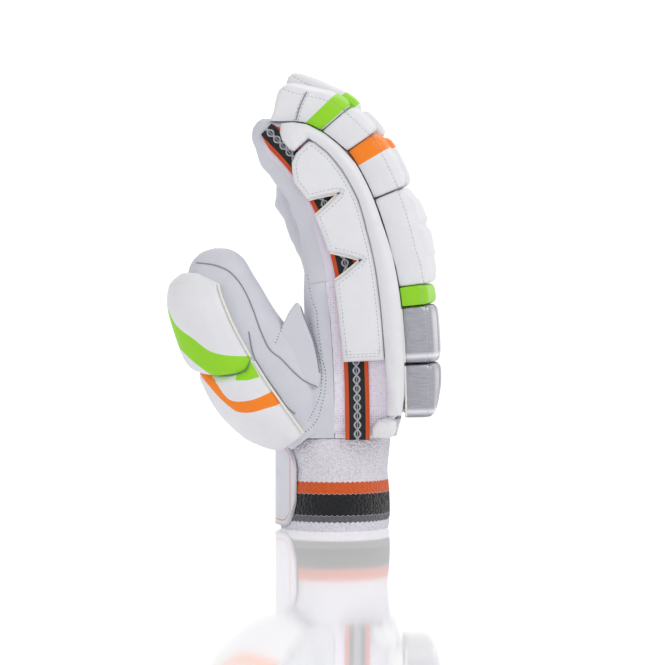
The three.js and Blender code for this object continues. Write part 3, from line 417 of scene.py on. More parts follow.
PAD_SECTION = np.array([
    # ring, plan, height
    (0.0, 0.0, 1.0), (0.3, 0.42, 0.995), (0.5, 0.68, 0.975), (0.62, 0.83, 0.94), (0.7, 0.915, 0.895),
    (0.76, 0.962, 0.845), (0.79, 0.972, 0.8), (0.805, 0.962, 0.782), (0.82, 0.975, 0.765),
    (0.85, 0.995, 0.72), (0.91, 1.0, 0.45), (0.95, 1.0, 0.2), (0.98, 0.995, 0.06), (1.0, 0.98, 0.0),
])
SEAM_RING = 0.805
print("profiles:", len(HAND_PROFILE), len(STALL_PROFILE), len(PAD_SECTION), "rows")


# %% Where a pad sits
def stall_length(finger):
    """From the knuckle line to the fingertip."""
    return HAND_LENGTH * FINGERS[finger]["length"] - KNUCKLE_LINE


def reach_along(finger, reach):
    return KNUCKLE_LINE + GAP + reach * stall_length(finger)


def lane_edges(finger):
    """The two sides of a finger's pads, as places across the hand."""
    left = -HALF + FINGERS[finger]["lane"] * LANE
    return left + GAP / 2 + PAD_SPLIT / 2, left + LANE - GAP / 2 - PAD_SPLIT / 2


def hand_seat(along):
    return column(HAND_PROFILE, along / HAND_LENGTH, 2) * BACK_DEPTH + PAD_GAP


def stall_seat(finger, along):
    reach = (along - KNUCKLE_LINE - GAP) / stall_length(finger)
    return column(STALL_PROFILE, reach, 2) * BACK_DEPTH + PAD_GAP


print("the index stall is", stall_length("index"), "mm long")

# %% The grid of one pad
RIM_LINES = np.array([0.79, SEAM_RING, 0.82, 0.85, 0.88, 0.91, 0.95, 0.98, 1.0])
RIM_REACH, PAD_STEP, KNUCKLE_STEP = 23.4, 1.5, 0.9


def pad_lines(length, short, step):
    """Places from -1 to 1 across a pad of that length, close together where its rim turns over."""
    rim = 1 - (1 - np.concatenate([np.linspace(0.2, 0.74, 6), RIM_LINES])) * short / length
    inner = np.linspace(0, rim[0], max(2, int(rim[0] * length / 2 / step)), endpoint=False)
    half = np.concatenate([inner, rim])
    return np.concatenate([-half[:0:-1], half])


def pad_points(spec, step, corner=9):
    """Flat points of a stuffed box, rows along by columns across, with how near each is to the rim."""
    length, width = spec["end"] - spec["start"], spec["right"] - spec["left"]
    short = min(length, width, RIM_REACH)
    along_lines, across_lines = pad_lines(length, short, step), pad_lines(width, short, step)
    a, b = np.meshgrid(along_lines, across_lines, indexing="ij")
    near = [np.maximum(0, 1 - (1 - np.abs(v)) * size / short) for v, size in ((a, length), (b, width))]
    ring = np.maximum(np.maximum(*near), 1e-6)
    spread = ((near[0] / ring) ** corner + (near[1] / ring) ** corner + 1e-9) ** (1 / corner)
    plan = column(PAD_SECTION, ring, 1) / np.maximum(spread, 1) / ring
    flat = []
    for v, size, rim in ((a, length, near[0]), (b, width, near[1])):
        rest = (1 - np.abs(v)) * size / 2
        inset = np.where(rim > 0, (1 - rim * plan) * short / 2, rest)
        flat.append(np.sign(v) * (size / 2 - inset) + size / 2)
    share = np.clip(flat[0] / length, 0, 1)
    dome = column(PAD_SECTION, ring, 2)
    along = spec["start"] + flat[0]
    base = spec["seat"](along)
    tall = spec["height"](share) * dome
    along = along + spec["overhang"] * share ** 3 * smoothstep(dome, 0, 0.8)
    points = np.stack([along, spec["left"] + flat[1], base + tall], axis=-1)
    return points, ring


print("a pad's cover turns over within", RIM_REACH / 2, "mm of its edge")


# %% The list of pads, from the same sizes as the model
def finger_pad(finger, start, end, first, last):
    """One finger pad between two shares of the stall, its height going from first to last or to the tip."""
    f = FINGERS[finger]
    left, right = lane_edges(finger)
    a0 = max(reach_along(finger, start), KNUCKLE_PAD_END) + PAD_SPLIT / 2
    a1 = reach_along(finger, end) - PAD_SPLIT / 2
    first *= f["bulk"]
    closing = last is None
    last = f["crown"] if closing else last * f["bulk"]
    return dict(finger=finger, start=a0, end=a1, left=left, right=right,
                seat=lambda along: stall_seat(finger, along),
                height=lambda t: PAD_HEIGHT * (first + (last - first) * t),
                overhang=f["overhang"] * PAD_HEIGHT if closing else 0.0)


def back_block(finger, start, end, share):
    """One silver block on the back of the hand, between two shares of the hand's length."""
    left, right = lane_edges(finger)
    return dict(finger="index", start=start * HAND_LENGTH + PAD_SPLIT / 2,
                end=end * HAND_LENGTH - PAD_SPLIT / 2, left=left, right=right,
                seat=lambda along: np.maximum(hand_seat(along), BACK_DEPTH + PAD_GAP),
                height=lambda t: PAD_HEIGHT * share + 0 * t, overhang=0.0)


pads = {}
for finger in ("index", "middle", "ring"):
    pads[f"{finger}_low_pad"] = (finger_pad(finger, 0.34, 0.583, 0.92, 0.93), "low")
    pads[f"{finger}_mid_pad"] = (finger_pad(finger, 0.583, 0.727, 0.97, 1.05), "white")
    pads[f"{finger}_tip_pad"] = (finger_pad(finger, 0.727, 0.955, 1.07, None), "tip")
pads["little_base_pad"] = (finger_pad("little", 0.44, 0.68, 0.9, 0.9), "low")
pads["little_end_pad"] = (finger_pad("little", 0.68, 0.92, 0.95, None), "tip")
for finger in FINGERS:
    pads[f"{finger}_lower_block"] = (back_block(finger, 0.057, 0.207, 0.82), "silver")
    pads[f"{finger}_upper_block"] = (back_block(finger, 0.207, 0.363, 0.8), "silver")


def wide_seat(along):
    stall = np.maximum(stall_seat("index", along), BACK_DEPTH + PAD_GAP)
    return np.where(along < KNUCKLE_LINE, hand_seat(along), stall)


def wide_pad(start, end, share, inset):
    """A pad across the whole hand."""
    return dict(finger="index", start=start * HAND_LENGTH + PAD_SPLIT / 2,
                end=end * HAND_LENGTH - PAD_SPLIT / 2, left=-HALF + inset, right=HALF - inset,
                seat=wide_seat, height=lambda t: PAD_HEIGHT * share + 0 * t, overhang=0.0)


pads["knuckle_band"] = (wide_pad(0.363, 0.415, 0.76, PAD_SPLIT / 2), "green")
pads["knuckle_pad"] = (wide_pad(0.415, 0.645, 0.87, PAD_SPLIT / 2), "white")
pads["wrist_roll"] = (wide_pad(0.004, 0.055, 0.14, 5.0), "white")
print(len(pads), "pads")

# %% [markdown]
# Leather over foam could be drawn by hand, but its swell depends on where it is held. Blender's cloth
# solver finds it: the seams are pinned, gravity is off, and a small pressure pushes the skin out. All
# pads go through one run, because starting the solver costs more than the extra points.

# %% Blow the pads up
def inflate(points, faces, pinned, frames=20, pressure=4.0, cap=1.4):
    """Cloth with pressure on points in millimetres; returns the moved points."""
    mesh = bpy.data.meshes.new("slack")
    mesh.from_pydata((points * MM).tolist(), [], [tuple(map(int, f)) for f in faces])
    turn_out(mesh, merge=False)
    slack = bpy.data.objects.new("slack", mesh)
    bpy.context.scene.collection.objects.link(slack)
    group = slack.vertex_groups.new(name="seams")
    group.add([int(i) for i in np.nonzero(pinned)[0]], 1.0, "REPLACE")
    cloth = slack.modifiers.new("cloth", "CLOTH")
    cloth.settings.quality = 4
    cloth.settings.mass = 0.25
    cloth.settings.tension_stiffness = 12
    cloth.settings.compression_stiffness = 12
    cloth.settings.shear_stiffness = 6
    cloth.settings.bending_stiffness = 0.6
    cloth.settings.effector_weights.gravity = 0
    cloth.settings.use_pressure = True
    cloth.settings.uniform_pressure_force = pressure
    cloth.settings.vertex_group_mass = "seams"
    cloth.point_cache.frame_end = frames
    for step in range(1, frames + 1):
        bpy.context.scene.frame_set(step)
    evaluated = slack.evaluated_get(bpy.context.evaluated_depsgraph_get())
    moved = np.array([v.co for v in evaluated.data.vertices]) / MM
    bpy.context.scene.frame_set(1)
    bpy.data.objects.remove(slack)
    shift = moved - points
    length = np.linalg.norm(shift, axis=1, keepdims=True)
    return points + shift * np.minimum(1, cap / np.maximum(length, 1e-6))


print("cloth run:", "pressure and pinned seams")

# %% All the pads, with raised bars on the knuckles
RELIEF_BARS = ((0.485, 0.54), (0.56, 0.61))
RELIEF, RELIEF_EDGE, RELIEF_SPAN, RELIEF_FADE = 1.6, 0.9, 0.88, 0.03
PINNED_RIM, SEAM_REACH = 0.97, 0.006


def box_faces(rows, columns):
    """The faces of a pad's grid with one face under it."""
    border = [(0, j) for j in range(columns)] + [(i, columns - 1) for i in range(1, rows)]
    border += [(rows - 1, j) for j in range(columns - 2, -1, -1)] + [(i, 0) for i in range(rows - 2, 0, -1)]
    return grid_faces(rows, columns) + [tuple(i * columns + j for i, j in reversed(border))]


pad_parts = []
for name, (spec, look) in pads.items():
    flat, ring = pad_points(spec, KNUCKLE_STEP if name == "knuckle_pad" else PAD_STEP)
    if name == "knuckle_pad":
        inside = 1 - smoothstep(np.abs(flat[..., 1]) / HALF, RELIEF_SPAN - RELIEF_FADE, RELIEF_SPAN)
        for low, high in RELIEF_BARS:
            low, high = low * HAND_LENGTH, high * HAND_LENGTH
            bar = smoothstep(flat[..., 0], low - RELIEF_EDGE, low)
            bar = bar * (1 - smoothstep(flat[..., 0], high, high + RELIEF_EDGE))
            flat[..., 2] += RELIEF * bar * inside * (ring < 0.8)
    pad_parts.append(dict(name=name, look=look, rows=flat.shape[0], columns=flat.shape[1], ring=ring.ravel(),
                          flat=flat.reshape(-1, 3), rest=bend(spec["finger"], flat).reshape(-1, 3)))
offsets = np.cumsum([0] + [len(part["rest"]) for part in pad_parts])
every_face = [tuple(v + start for v in face) for part, start in zip(pad_parts, offsets)
              for face in box_faces(part["rows"], part["columns"])]
rings = np.concatenate([part["ring"] for part in pad_parts])
resting = np.concatenate([part["rest"] for part in pad_parts])
pinned = (rings > PINNED_RIM) | (np.abs(rings - SEAM_RING) < SEAM_REACH)
moved = inflate(resting, every_face, pinned)
swollen = np.split(moved, offsets[1:-1])
print("pads moved by up to", round(float(np.linalg.norm(moved - resting, axis=1).max()), 2), "mm")
stitch_lines = []
SEAM_LINE = len(RIM_LINES) - 2
for part, points in zip(pad_parts, swollen):
    piece = add_piece(part["name"] + "_cover", points, box_faces(part["rows"], part["columns"]),
                      sewn=part["flat"])
    dress(piece, looks[part["look"]], [part["name"]])
    grid = points.reshape(part["rows"], part["columns"], 3)[SEAM_LINE:-SEAM_LINE, SEAM_LINE:-SEAM_LINE]
    stitch_lines.append(np.concatenate([grid[0], grid[1:, -1], grid[-1, -2::-1], grid[-2::-1, 0]]))
print("pads made:", len(pad_parts), "with", sum(len(p["rest"]) for p in pad_parts), "points")

# %% [markdown]
# ## The knitted cuff
#
# The cuff is a thick tube of terry knit: loops of yarn in upright columns, called wales. Its bands are
# knitted in, so their edges step from stitch to stitch. The tube is a wall between two rings of points;
# its wales are real ridges, and the loops are bump.

# %% A wall between two grids
def wall(outer, inner, wraps=False):
    """The closed wall between an outer and an inner grid of points."""
    rows, columns = outer.shape[:2]
    size = rows * columns
    faces = grid_faces(rows, columns, wraps) + [f[::-1] for f in grid_faces(rows, columns, wraps, size)]
    last = (rows - 1) * columns
    if wraps:
        rims = [[*range(columns), 0], [*range(last, last + columns), last][::-1]]
    else:
        right = [i * columns + columns - 1 for i in range(1, rows)]
        left = [i * columns for i in range(rows - 2, -1, -1)]
        rims = [[*range(columns), *right, *range(last + columns - 2, last - 1, -1), *left]]
    for rim in rims:
        faces += [(b, a, a + size, b + size) for a, b in zip(rim, rim[1:])]
    return np.concatenate([outer.reshape(-1, 3), inner.reshape(-1, 3)]), faces


print("a wall of 2 by 2 points has", len(wall(np.zeros((2, 2, 3)), np.ones((2, 2, 3)))[1]), "faces")

# %% [markdown]
# Terry is cotton yarn knitted in loops that stand up from the cloth. The surface is wholly matt, with pale
# loop tips, and the lavender between the loops is painted shade, laid where the loops would hide the light.
# Real loops are about a millimetre wide; they are drawn at 1.75 mm so that they show.

# %% Terry knit
CUFF_BANDS = (
    # colour, from, to in millimetres above the rim
    ("#6A6D74", 5.9, 9.9), (BLACK, 9.9, 22.9), ("#EB6322", 22.9, 30.0),
)
WALE, STEP, LOOP_SIZE = 1.9, 0.75, 1.75
knit, tree, shader = new_material("terry_knit_cotton")
up, around, _ = sewn_axes(tree)
stitch_wave = add_node(tree, "ShaderNodeMath PINGPONG", around, WALE)
level = add_node(tree, "ShaderNodeMath MULTIPLY_ADD", stitch_wave, STEP / WALE, up)
bands = [(between(tree, level, low, high), colour) for colour, low, high in CUFF_BANDS]
place = add_node(tree, "ShaderNodeTexCoord", out="Object")
loops = add_node(tree, "ShaderNodeTexVoronoi", out="Distance", Vector=place, Scale=1000 / LOOP_SIZE,
                 Randomness=0.85)
# Painted shade: the yarn turns lavender-grey between the loops, away from each loop's tip.
painted_loop_shade = add_node(tree, "ShaderNodeMapRange", loops, 0.15, 0.85, 0.0, 0.2)
loop_shade_tint = layered(tree, (1, 1, 1, 1), [(painted_loop_shade, "#A9A3BC")])
yarn = add_node(tree, "ShaderNodeMix", 1.0, out=2, settings={"data_type": "RGBA", "blend_type": "MULTIPLY"},
                _6=layered(tree, linear("#F7F4FB"), bands), _7=loop_shade_tint)
tree.links.new(yarn, shader.inputs["Base Color"])
loop_bump = add_node(tree, "ShaderNodeBump", settings={"invert": True}, Strength=0.9, Distance=0.0014,
                     Height=loops)
tree.links.new(loop_bump, shader.inputs["Normal"])
shader.inputs["Roughness"].default_value = 0.95
shader.inputs["Sheen Weight"].default_value = 0.25
print("cuff bands:", len(CUFF_BANDS), "with loops", LOOP_SIZE, "mm wide")

# %% Cuff tube
CUFF_PROFILE = np.array([
    # up, girth
    (0.0, 0.985), (0.17, 1.01), (0.4, 1.0), (0.63, 0.965), (0.85, 1.0), (1.0, 1.02),
])
CUFF_COLUMNS, CUFF_ROWS = 288, 66


def cuff_point(turn, inset, girth, z):
    """Places round the cuff's oval, inset from its surface."""
    x = CUFF_SHIFT + (CUFF_DEPTH / 2 * girth - inset) * np.cos(turn)
    return np.stack([x, (CUFF_WIDTH / 2 * girth - inset) * np.sin(turn), z + 0 * turn], axis=-1) + SHIFT


turns = np.arange(CUFF_COLUMNS) / CUFF_COLUMNS * math.tau
rise, turn = np.meshgrid(np.linspace(0, CUFF_HEIGHT, CUFF_ROWS), turns, indexing="ij")
girth = np.pad(column(CUFF_PROFILE, rise[:, 0] / CUFF_HEIGHT, 1), 4, "edge")
girth = np.convolve(girth, np.ones(9) / 9, "valid")[:, None] + 0 * turn
hem = 0.5 * (1 - smoothstep(np.minimum(rise, CUFF_HEIGHT - rise), 0, 1.4))
wale = 0.22 * np.abs(np.sin(turn * CUFF_COLUMNS / 4))
crease = 0.5 * np.exp(-((rise - 5.6) / 0.7) ** 2)
outer = cuff_point(turn, hem + wale + crease, girth, rise)
inner = cuff_point(turn, CUFF_WALL - hem, girth, rise)
points, faces = wall(outer, inner, wraps=True)
arc = turn * (CUFF_DEPTH + CUFF_WIDTH) / 4
flat = np.stack([rise, arc, 0 * arc], axis=-1).reshape(-1, 3)
cuff = add_piece("cuff_tube", points, faces, sewn=np.concatenate([flat, flat]))
dress(cuff, knit, ["knit_cuff"])
print("cuff faces:", len(faces))

# %% [markdown]
# The strap is a plain band of coated leather with a rounded near end. It hugs the cuff on its palm side,
# so its points are the cuff's own, moved out by the strap's gap and thickness, and its rims are rounded.

# %% Wrist strap
STRAP_WIDTH, STRAP_THICKNESS, STRAP_LIFT, STRAP_CORNER = 51.0, 2.0, 2.4, 12.0
STRAP_TURNS = (-133.0, -268.0)
STRAP_GIRTH = 1.012
STRAP_ROWS, STRAP_COLUMNS = 90, 41


def strap_grid(inset):
    """Points of the strap, and for each its place across, its run round the cuff and its rim distance."""
    t, share = np.meshgrid(np.linspace(0, 1, STRAP_ROWS) ** 1.3,
                           np.sin(np.linspace(-1, 1, STRAP_COLUMNS) * math.pi / 2), indexing="ij")
    run = math.radians(STRAP_TURNS[0] - STRAP_TURNS[1]) * (CUFF_DEPTH + CUFF_WIDTH) / 4
    shortfall = np.maximum(1 - t * run / STRAP_CORNER, 0)
    tall = STRAP_WIDTH / 2 * np.sqrt(1 - shortfall ** 2 * 0.85)
    angle = np.radians(STRAP_TURNS[0] + (STRAP_TURNS[1] - STRAP_TURNS[0]) * t)
    rim = np.minimum((1 - np.abs(share)) * tall, np.minimum(t, 1 - t) * run)
    soft = 0.6 * (1 - np.sqrt(np.clip(1 - (1 - np.minimum(rim, 1.2) / 1.2) ** 2, 0, 1)))
    points = cuff_point(angle, inset + soft, STRAP_GIRTH, STRAP_LIFT + STRAP_WIDTH / 2 + share * tall)
    return points, np.stack([share * tall, t * run, rim], axis=-1)


strap_outer, strap_flat = strap_grid(-GAP - STRAP_THICKNESS)
strap_inner, _ = strap_grid(-GAP)
points, faces = wall(strap_outer, strap_inner)


def strap_line(tree, base):
    """A thin orange line that follows the near end of the strap."""
    rim = sewn_axes(tree)[2]
    return layered(tree, base, [(between(tree, rim, 3.0, 3.8), "#E8843C")])


strap = add_piece("strap_band", points, faces, sewn=np.concatenate([strap_flat.reshape(-1, 3)] * 2))
# The pads' coated leather, pressed flat on its backing, so almost without creases
strap_look = leather("coated_leather_strap", "#E2E2EA", stripes=strap_line, crease=0.2)
dress(strap, strap_look, ["wrist_strap"])
print("strap faces:", len(faces))

# %% [markdown]
# ## Palm and finger stalls
#
# The palm is one sheet of thin sheepskin. It wraps the palm and both edges of the hand, and the stalls
# are tubes of the same skin. They are drawn as sections along the bent centre line. Soft folds are
# pressed into the sheet where the hand closes.

# %% Palm sheet
LEATHER_WALL, PALM_CORNER = 1.8, 22.0


def palm_line(palm, half, count=14):
    """Half a palm section, mirrored: down the side, round the corner and flat to the middle."""
    corner = min(PALM_CORNER, (palm - SIDE_SEAM) * 0.9, (half - LANE) * 0.95)
    turn = np.linspace(0, math.pi / 2, count)
    rise = np.linspace(0, 1, 10)[:-1, None]
    start, bend_at = np.array([-half, -SIDE_SEAM]), np.array([-half, -palm + corner])
    side = start + (bend_at - start) * rise
    curve = np.stack([-half + corner * (1 - np.cos(turn)), -palm + corner * (1 - np.sin(turn))], axis=1)
    flat = np.linspace(curve[-1, 0], 0, 14)[1:]
    left = np.concatenate([side, curve, np.stack([flat, 0 * flat - palm], axis=1)])
    return np.concatenate([left, left[-2::-1] * (-1, 1)])


def inset_line(line, distance):
    """The line moved inwards by a wall's thickness."""
    step = np.gradient(line, axis=0)
    step[[0, -1], 0] = 0
    step /= np.linalg.norm(step, axis=1, keepdims=True)
    return line + np.stack([-step[:, 1], step[:, 0]], axis=1) * distance


def hand_grid(rows, distance):
    grid = []
    for along in rows:
        palm = column(HAND_PROFILE, along / HAND_LENGTH, 1) * PALM_DEPTH
        half = column(HAND_PROFILE, along / HAND_LENGTH, 3) * HALF
        line = inset_line(palm_line(palm, half), distance)
        grid.append(np.concatenate([np.full((len(line), 1), along), line], axis=1))
    return np.array(grid)


palm_rows = np.linspace(0, KNUCKLE_LINE, 60)
flat = hand_grid(palm_rows, 0.0)
depth = smoothstep(-flat[..., 2], SIDE_SEAM + 2, SIDE_SEAM + 14)
fold = wobble(flat * (1.0, 0.45, 0.45), 34, 2.0) * 0.9 + wobble(flat * (0.8, 1.2, 1.0), 15, 5.0) * 0.35
flat[..., 2] += fold * depth * smoothstep(flat[..., 0], 0, 8)
inner_flat = hand_grid(palm_rows, LEATHER_WALL)
inner_flat[..., 2] += fold * depth * smoothstep(flat[..., 0], 0, 8)
points, faces = wall(bend("index", flat), bend("index", inner_flat))
palm = add_piece("palm_sheet", points, faces,
                 sewn=np.concatenate([flat.reshape(-1, 3), inner_flat.reshape(-1, 3)]))
print("palm faces:", len(faces))

# %% Finger stalls
STALL_COLUMNS, STALL_WALL, STALL_PADDING, PANEL_WALL, STALL_TIP_OUT = 48, 2.0, 9.0, 4.0, -0.11


def stall_rings(finger, reaches, side_wall, back_wall):
    """Rings of a finger stall at those reaches, inside its lane by a side wall and a back wall."""
    lane = FINGERS[finger]["lane"]
    left = -HALF + lane * LANE + (GAP / 2 if lane > 0 else 0)
    right = -HALF + (lane + 1) * LANE - (GAP / 2 if lane < 3 else 0)
    angles = (np.arange(STALL_COLUMNS) + 0.5) / STALL_COLUMNS * math.tau
    reach, turn = np.meshgrid(reaches, angles, indexing="ij")
    palm, back, width = (column(STALL_PROFILE, reach, k) for k in (1, 2, 3))
    half = (right - left) / 2 * width - side_wall
    low = -palm * PALM_DEPTH + side_wall
    high = back * BACK_DEPTH - back_wall(reach, back)
    tall = np.maximum((high - low) / 2, 1)
    power = np.where(np.sin(turn) > 0, 0.45, 0.75)
    across = (left + right) / 2 + half * np.sign(np.cos(turn)) * np.abs(np.cos(turn)) ** power
    out = (low + high) / 2 + tall * np.sign(np.sin(turn)) * np.abs(np.sin(turn)) ** power
    return np.stack([reach_along(finger, reach), across, out], axis=-1), turn


def to_point(grid, place):
    """Closes a tube's end with one more row, all at one place."""
    return np.concatenate([grid, np.broadcast_to(place, (1, *grid.shape[1:]))])


for finger in FINGERS:
    outside, turn = stall_rings(finger, np.linspace(-0.003, 0.99, 64), 0.0, lambda reach, back: 0.0)
    lane = FINGERS[finger]["lane"]
    palm_side = smoothstep(-np.sin(turn), 0.1, 0.8)
    fold = wobble(outside * (1.0, 0.3, 0.3), 17, 1.0 + lane) * 0.8 + wobble(outside, 9, 3.0 + lane) * 0.25
    outside[..., 2] += fold * palm_side * smoothstep(outside[..., 0], KNUCKLE_LINE, KNUCKLE_LINE + 8)
    middle = (-1.5 + lane) * LANE
    outside = to_point(outside, (KNUCKLE_LINE + stall_length(finger), middle, STALL_TIP_OUT * PALM_DEPTH))
    inside, _ = stall_rings(finger, np.linspace(0, 0.87, 63), STALL_WALL,
                            lambda reach, back: np.minimum(np.where(reach == 0, PANEL_WALL, STALL_PADDING),
                                                           back * BACK_DEPTH - STALL_WALL))
    inside = to_point(to_point(inside, inside[-1].mean(0)), inside[-1].mean(0))
    points, faces = wall(bend(finger, outside), bend(finger, inside), wraps=True)
    sewn = np.concatenate([outside.reshape(-1, 3), inside.reshape(-1, 3)])
    piece = add_piece(f"{finger}_stall_skin", points, faces, sewn=sewn)
    dress(piece, looks["stall"], [f"{finger}_stall"])
print("stalls made:", len(FINGERS), "of", len(faces), "faces each")

# %% [markdown]
# ## Side panels
#
# The flank carries a woven tape, and over it a flat padded bar with two V notches that let it bend, and a
# stuffed roll. Each is cut from a flat outline. The outline is filled with a fine net of triangles, and
# every point rises by a rule of its distance to the cut edge: a quarter round at the edge, then a slow
# dome.

# %% Filling an outline
PIXEL = 0.6


def on_photo(places):
    """Pixel places on the photograph, turned to x and z in millimetres."""
    places = np.asarray(places, float)
    return np.stack([(places[:, 0] - 332) * PIXEL + SHIFT[0], (530 - places[:, 1]) * PIXEL], axis=1)


def rounded(outline, count=8):
    """A closed outline as a smooth curve through its points."""
    p = np.asarray(outline, float)
    a, b, c, d = (np.roll(p, k, axis=0)[:, None] for k in (1, 0, -1, -2))
    t = (np.arange(count) / count)[None, :, None]
    curve = 2 * b + (c - a) * t + (2 * a - 5 * b + 4 * c - d) * t ** 2 + (3 * b - a - 3 * c + d) * t ** 3
    return (curve / 2).reshape(-1, 2)


def resample(outline, step):
    """A closed outline walked in even steps, its corners kept."""
    points = []
    for a, b in zip(outline, np.roll(outline, -1, axis=0)):
        count = max(1, int(math.ceil(np.linalg.norm(b - a) / step)))
        points += [a + (b - a) * i / count for i in range(count)]
    return np.array(points)


def edge_distance(points, outline):
    """The distance from each point to the nearest side of a closed outline."""
    a, b = outline, np.roll(outline, -1, axis=0)
    side = b - a
    share = np.clip(((points[:, None] - a) * side).sum(-1) / (side * side).sum(-1), 0, 1)
    return np.linalg.norm(points[:, None] - (a + share[..., None] * side), axis=-1).min(axis=1)


def is_inside(points, outline):
    """Counts the outline's sides that a ray from each point crosses: an odd count is inside."""
    x, y = points[:, None, 0], points[:, None, 1]
    a, b = outline, np.roll(outline, -1, axis=0)
    spans = (a[:, 1] > y) != (b[:, 1] > y)
    fall = np.where(b[:, 1] == a[:, 1], 1e-9, b[:, 1] - a[:, 1])
    crossing = a[:, 0] + (y - a[:, 1]) * (b[:, 0] - a[:, 0]) / fall
    return (spans & (x < crossing)).sum(axis=1) % 2 == 1


print("one photograph pixel is", PIXEL, "mm")


# %% From an outline to a plate
def inset_outline(outline, distance):
    """Points a set distance inside a closed outline, without those that a tight corner crowds."""
    tangent = np.roll(outline, -1, axis=0) - np.roll(outline, 1, axis=0)
    tangent /= np.linalg.norm(tangent, axis=1, keepdims=True)
    normal = np.stack([-tangent[:, 1], tangent[:, 0]], axis=1)
    moved = outline + normal * distance
    if not is_inside(moved, outline).mean() > 0.5:
        moved = outline - normal * distance
    good = is_inside(moved, outline) & (edge_distance(moved, outline) > distance * 0.93)
    return moved, good


def fill_outline(outline, step, insets):
    """Triangles over a closed outline: its rim, lines at set distances inside it, then an even net."""
    rim = resample(outline, step)
    layers = [rim]
    for distance in insets:
        moved, good = inset_outline(rim, distance)
        layers.append(moved[good])
    low, high = rim.min(axis=0), rim.max(axis=0)
    x, y = np.meshgrid(np.arange(low[0], high[0], step), np.arange(low[1], high[1], step), indexing="ij")
    y[::2] += step / 2
    grid = np.stack([x, y], axis=-1).reshape(-1, 2)
    grid = grid[is_inside(grid, rim)]
    layers.append(grid[edge_distance(grid, rim) > insets[-1] + step * 0.5])
    flat = np.concatenate(layers)
    border = [(i, (i + 1) % len(rim)) for i in range(len(rim))]
    flat, _, faces, *_ = delaunay_2d_cdt([Vector(p) for p in flat], border, [], 1, 1e-5)
    flat = np.array([tuple(p) for p in flat])
    return flat, faces, edge_distance(flat, rim), len(rim)


def two_sided(faces, size, rim_size):
    """The faces of a plate: its front, its back and the strip between them round the rim."""
    every = [tuple(f) for f in faces] + [tuple(v + size for v in reversed(f)) for f in faces]
    return every + [((i + 1) % rim_size, i, i + size, (i + 1) % rim_size + size) for i in range(rim_size)]


def plate(name, finger, outline, start, height, step=1.3, insets=(0.35, 0.8, 1.4, 2.1)):
    """A panel on the flank. height(distance, along, out) is how far its face stands off the hand's side."""
    side = -1 if finger == "index" else 1
    flat, faces, distance, rim_size = fill_outline(np.asarray(outline, float), step, insets)
    tall = height(distance, flat[:, 0], flat[:, 1])
    across = side * (HALF + start + tall)
    front = np.stack([flat[:, 0], across, flat[:, 1]], axis=1)
    back = np.stack([flat[:, 0], 0 * across + side * (HALF + start), flat[:, 1]], axis=1)
    sewn = np.concatenate([front, back])
    return add_piece(name, bend(finger, sewn), two_sided(faces, len(flat), rim_size), sewn=sewn)


def quarter_round(distance, radius):
    """Rises from 0 at the edge to 1 at radius, as a quarter of a circle does."""
    return np.sqrt(np.clip(1 - (1 - np.minimum(distance, radius) / radius) ** 2, 0, 1))


print("a rim of 2 mm has risen half way to", round(float(quarter_round(1.0, 2.0)), 2))

# %% Outlines of tape, bar and roll
TAPE_LOWER_EDGE, TAPE_WIDTH, BAR_LAP = 10.0, 14.5, 0.8
SIDE_EDGES = np.array([
    # along, valley, ridge
    (0.065, 0.6, 0.94), (0.12, 0.6, 1.012), (0.2, 0.584, 1.032), (0.3, 0.576, 1.048), (0.4, 0.576, 1.048),
    (0.5, 0.584, 1.024), (0.58, 0.6, 0.984), (0.66, 0.664, 0.992), (0.74, 0.648, 0.992), (0.8, 0.6, 0.904),
    (0.845, 0.504, 0.808),
])
BAR_START = 0.221
NOTCHES = {
    "index": [(0.457, -0.02), (0.505, 0.71), (0.553, 0.0), (0.666, -0.02), (0.697, 0.75), (0.724, 0.0)],
    "little": [(0.46, -0.02), (0.58, -0.02), (0.7, -0.02)],
}
BAR_END = [(0.79, -0.04), (0.82, 0.07), (0.843, 0.2), (0.855, 0.42), (0.857, 0.66), (0.857, 0.82)]
ROLL_END = [(0.8625, 0.85), (0.8625, 0.41), (0.88, 0.36), (0.91, 0.38), (0.93, 0.47), (0.945, 0.64),
            (0.925, 0.84), (0.894, 1.04)]


def across_bar(rows, reach):
    """Places on the bar, given as shares of its length and of its width at the start."""
    low = -TAPE_LOWER_EDGE - BAR_LAP
    high = SIDE_EDGES[0, 1] * BACK_DEPTH
    return [(along * reach, low + (high - low) * up) for along, up in rows]


def tape_outline(reach):
    along = np.linspace(-0.004, 0.965, 40)
    narrow = smoothstep(along, 0.93, 0.955) * TAPE_WIDTH / 5
    low = np.stack([along * reach, -TAPE_LOWER_EDGE + narrow], axis=1)
    high = np.stack([along * reach, TAPE_WIDTH - TAPE_LOWER_EDGE - narrow], axis=1)
    return np.concatenate([low, high[::-1]])


def bar_outline(finger, reach):
    lower = across_bar([(BAR_START, 0.02), (0.34, -0.02), *NOTCHES[finger], *BAR_END], reach)
    upper = [(a * reach, v * BACK_DEPTH - GAP) for a, v, _ in SIDE_EDGES[::-1] if a > BAR_START]
    return lower + upper + [(BAR_START * reach, column(SIDE_EDGES, BAR_START, 1) * BACK_DEPTH - GAP)]


def roll_outline(reach):
    lower = [(a * reach, v * BACK_DEPTH - (GAP if a > BAR_START else 0)) for a, v, _ in SIDE_EDGES]
    upper = [(a * reach, r * BACK_DEPTH) for a, _, r in SIDE_EDGES[::-1]]
    return lower + across_bar(ROLL_END, reach) + upper


print("notched bar outline has", len(bar_outline("index", HAND_LENGTH)), "points")

# %% [markdown]
# The tape is a woven ribbon of polyester yarn: black ground, red-orange edges and a chain of silver yarn
# down the middle. Its ribs give it a dull, finely ridged face. The chain is two sine waves that cross,
# drawn on the sewn coordinates, and the weave is a bump of ribs, 0.9 mm apart so that they show.

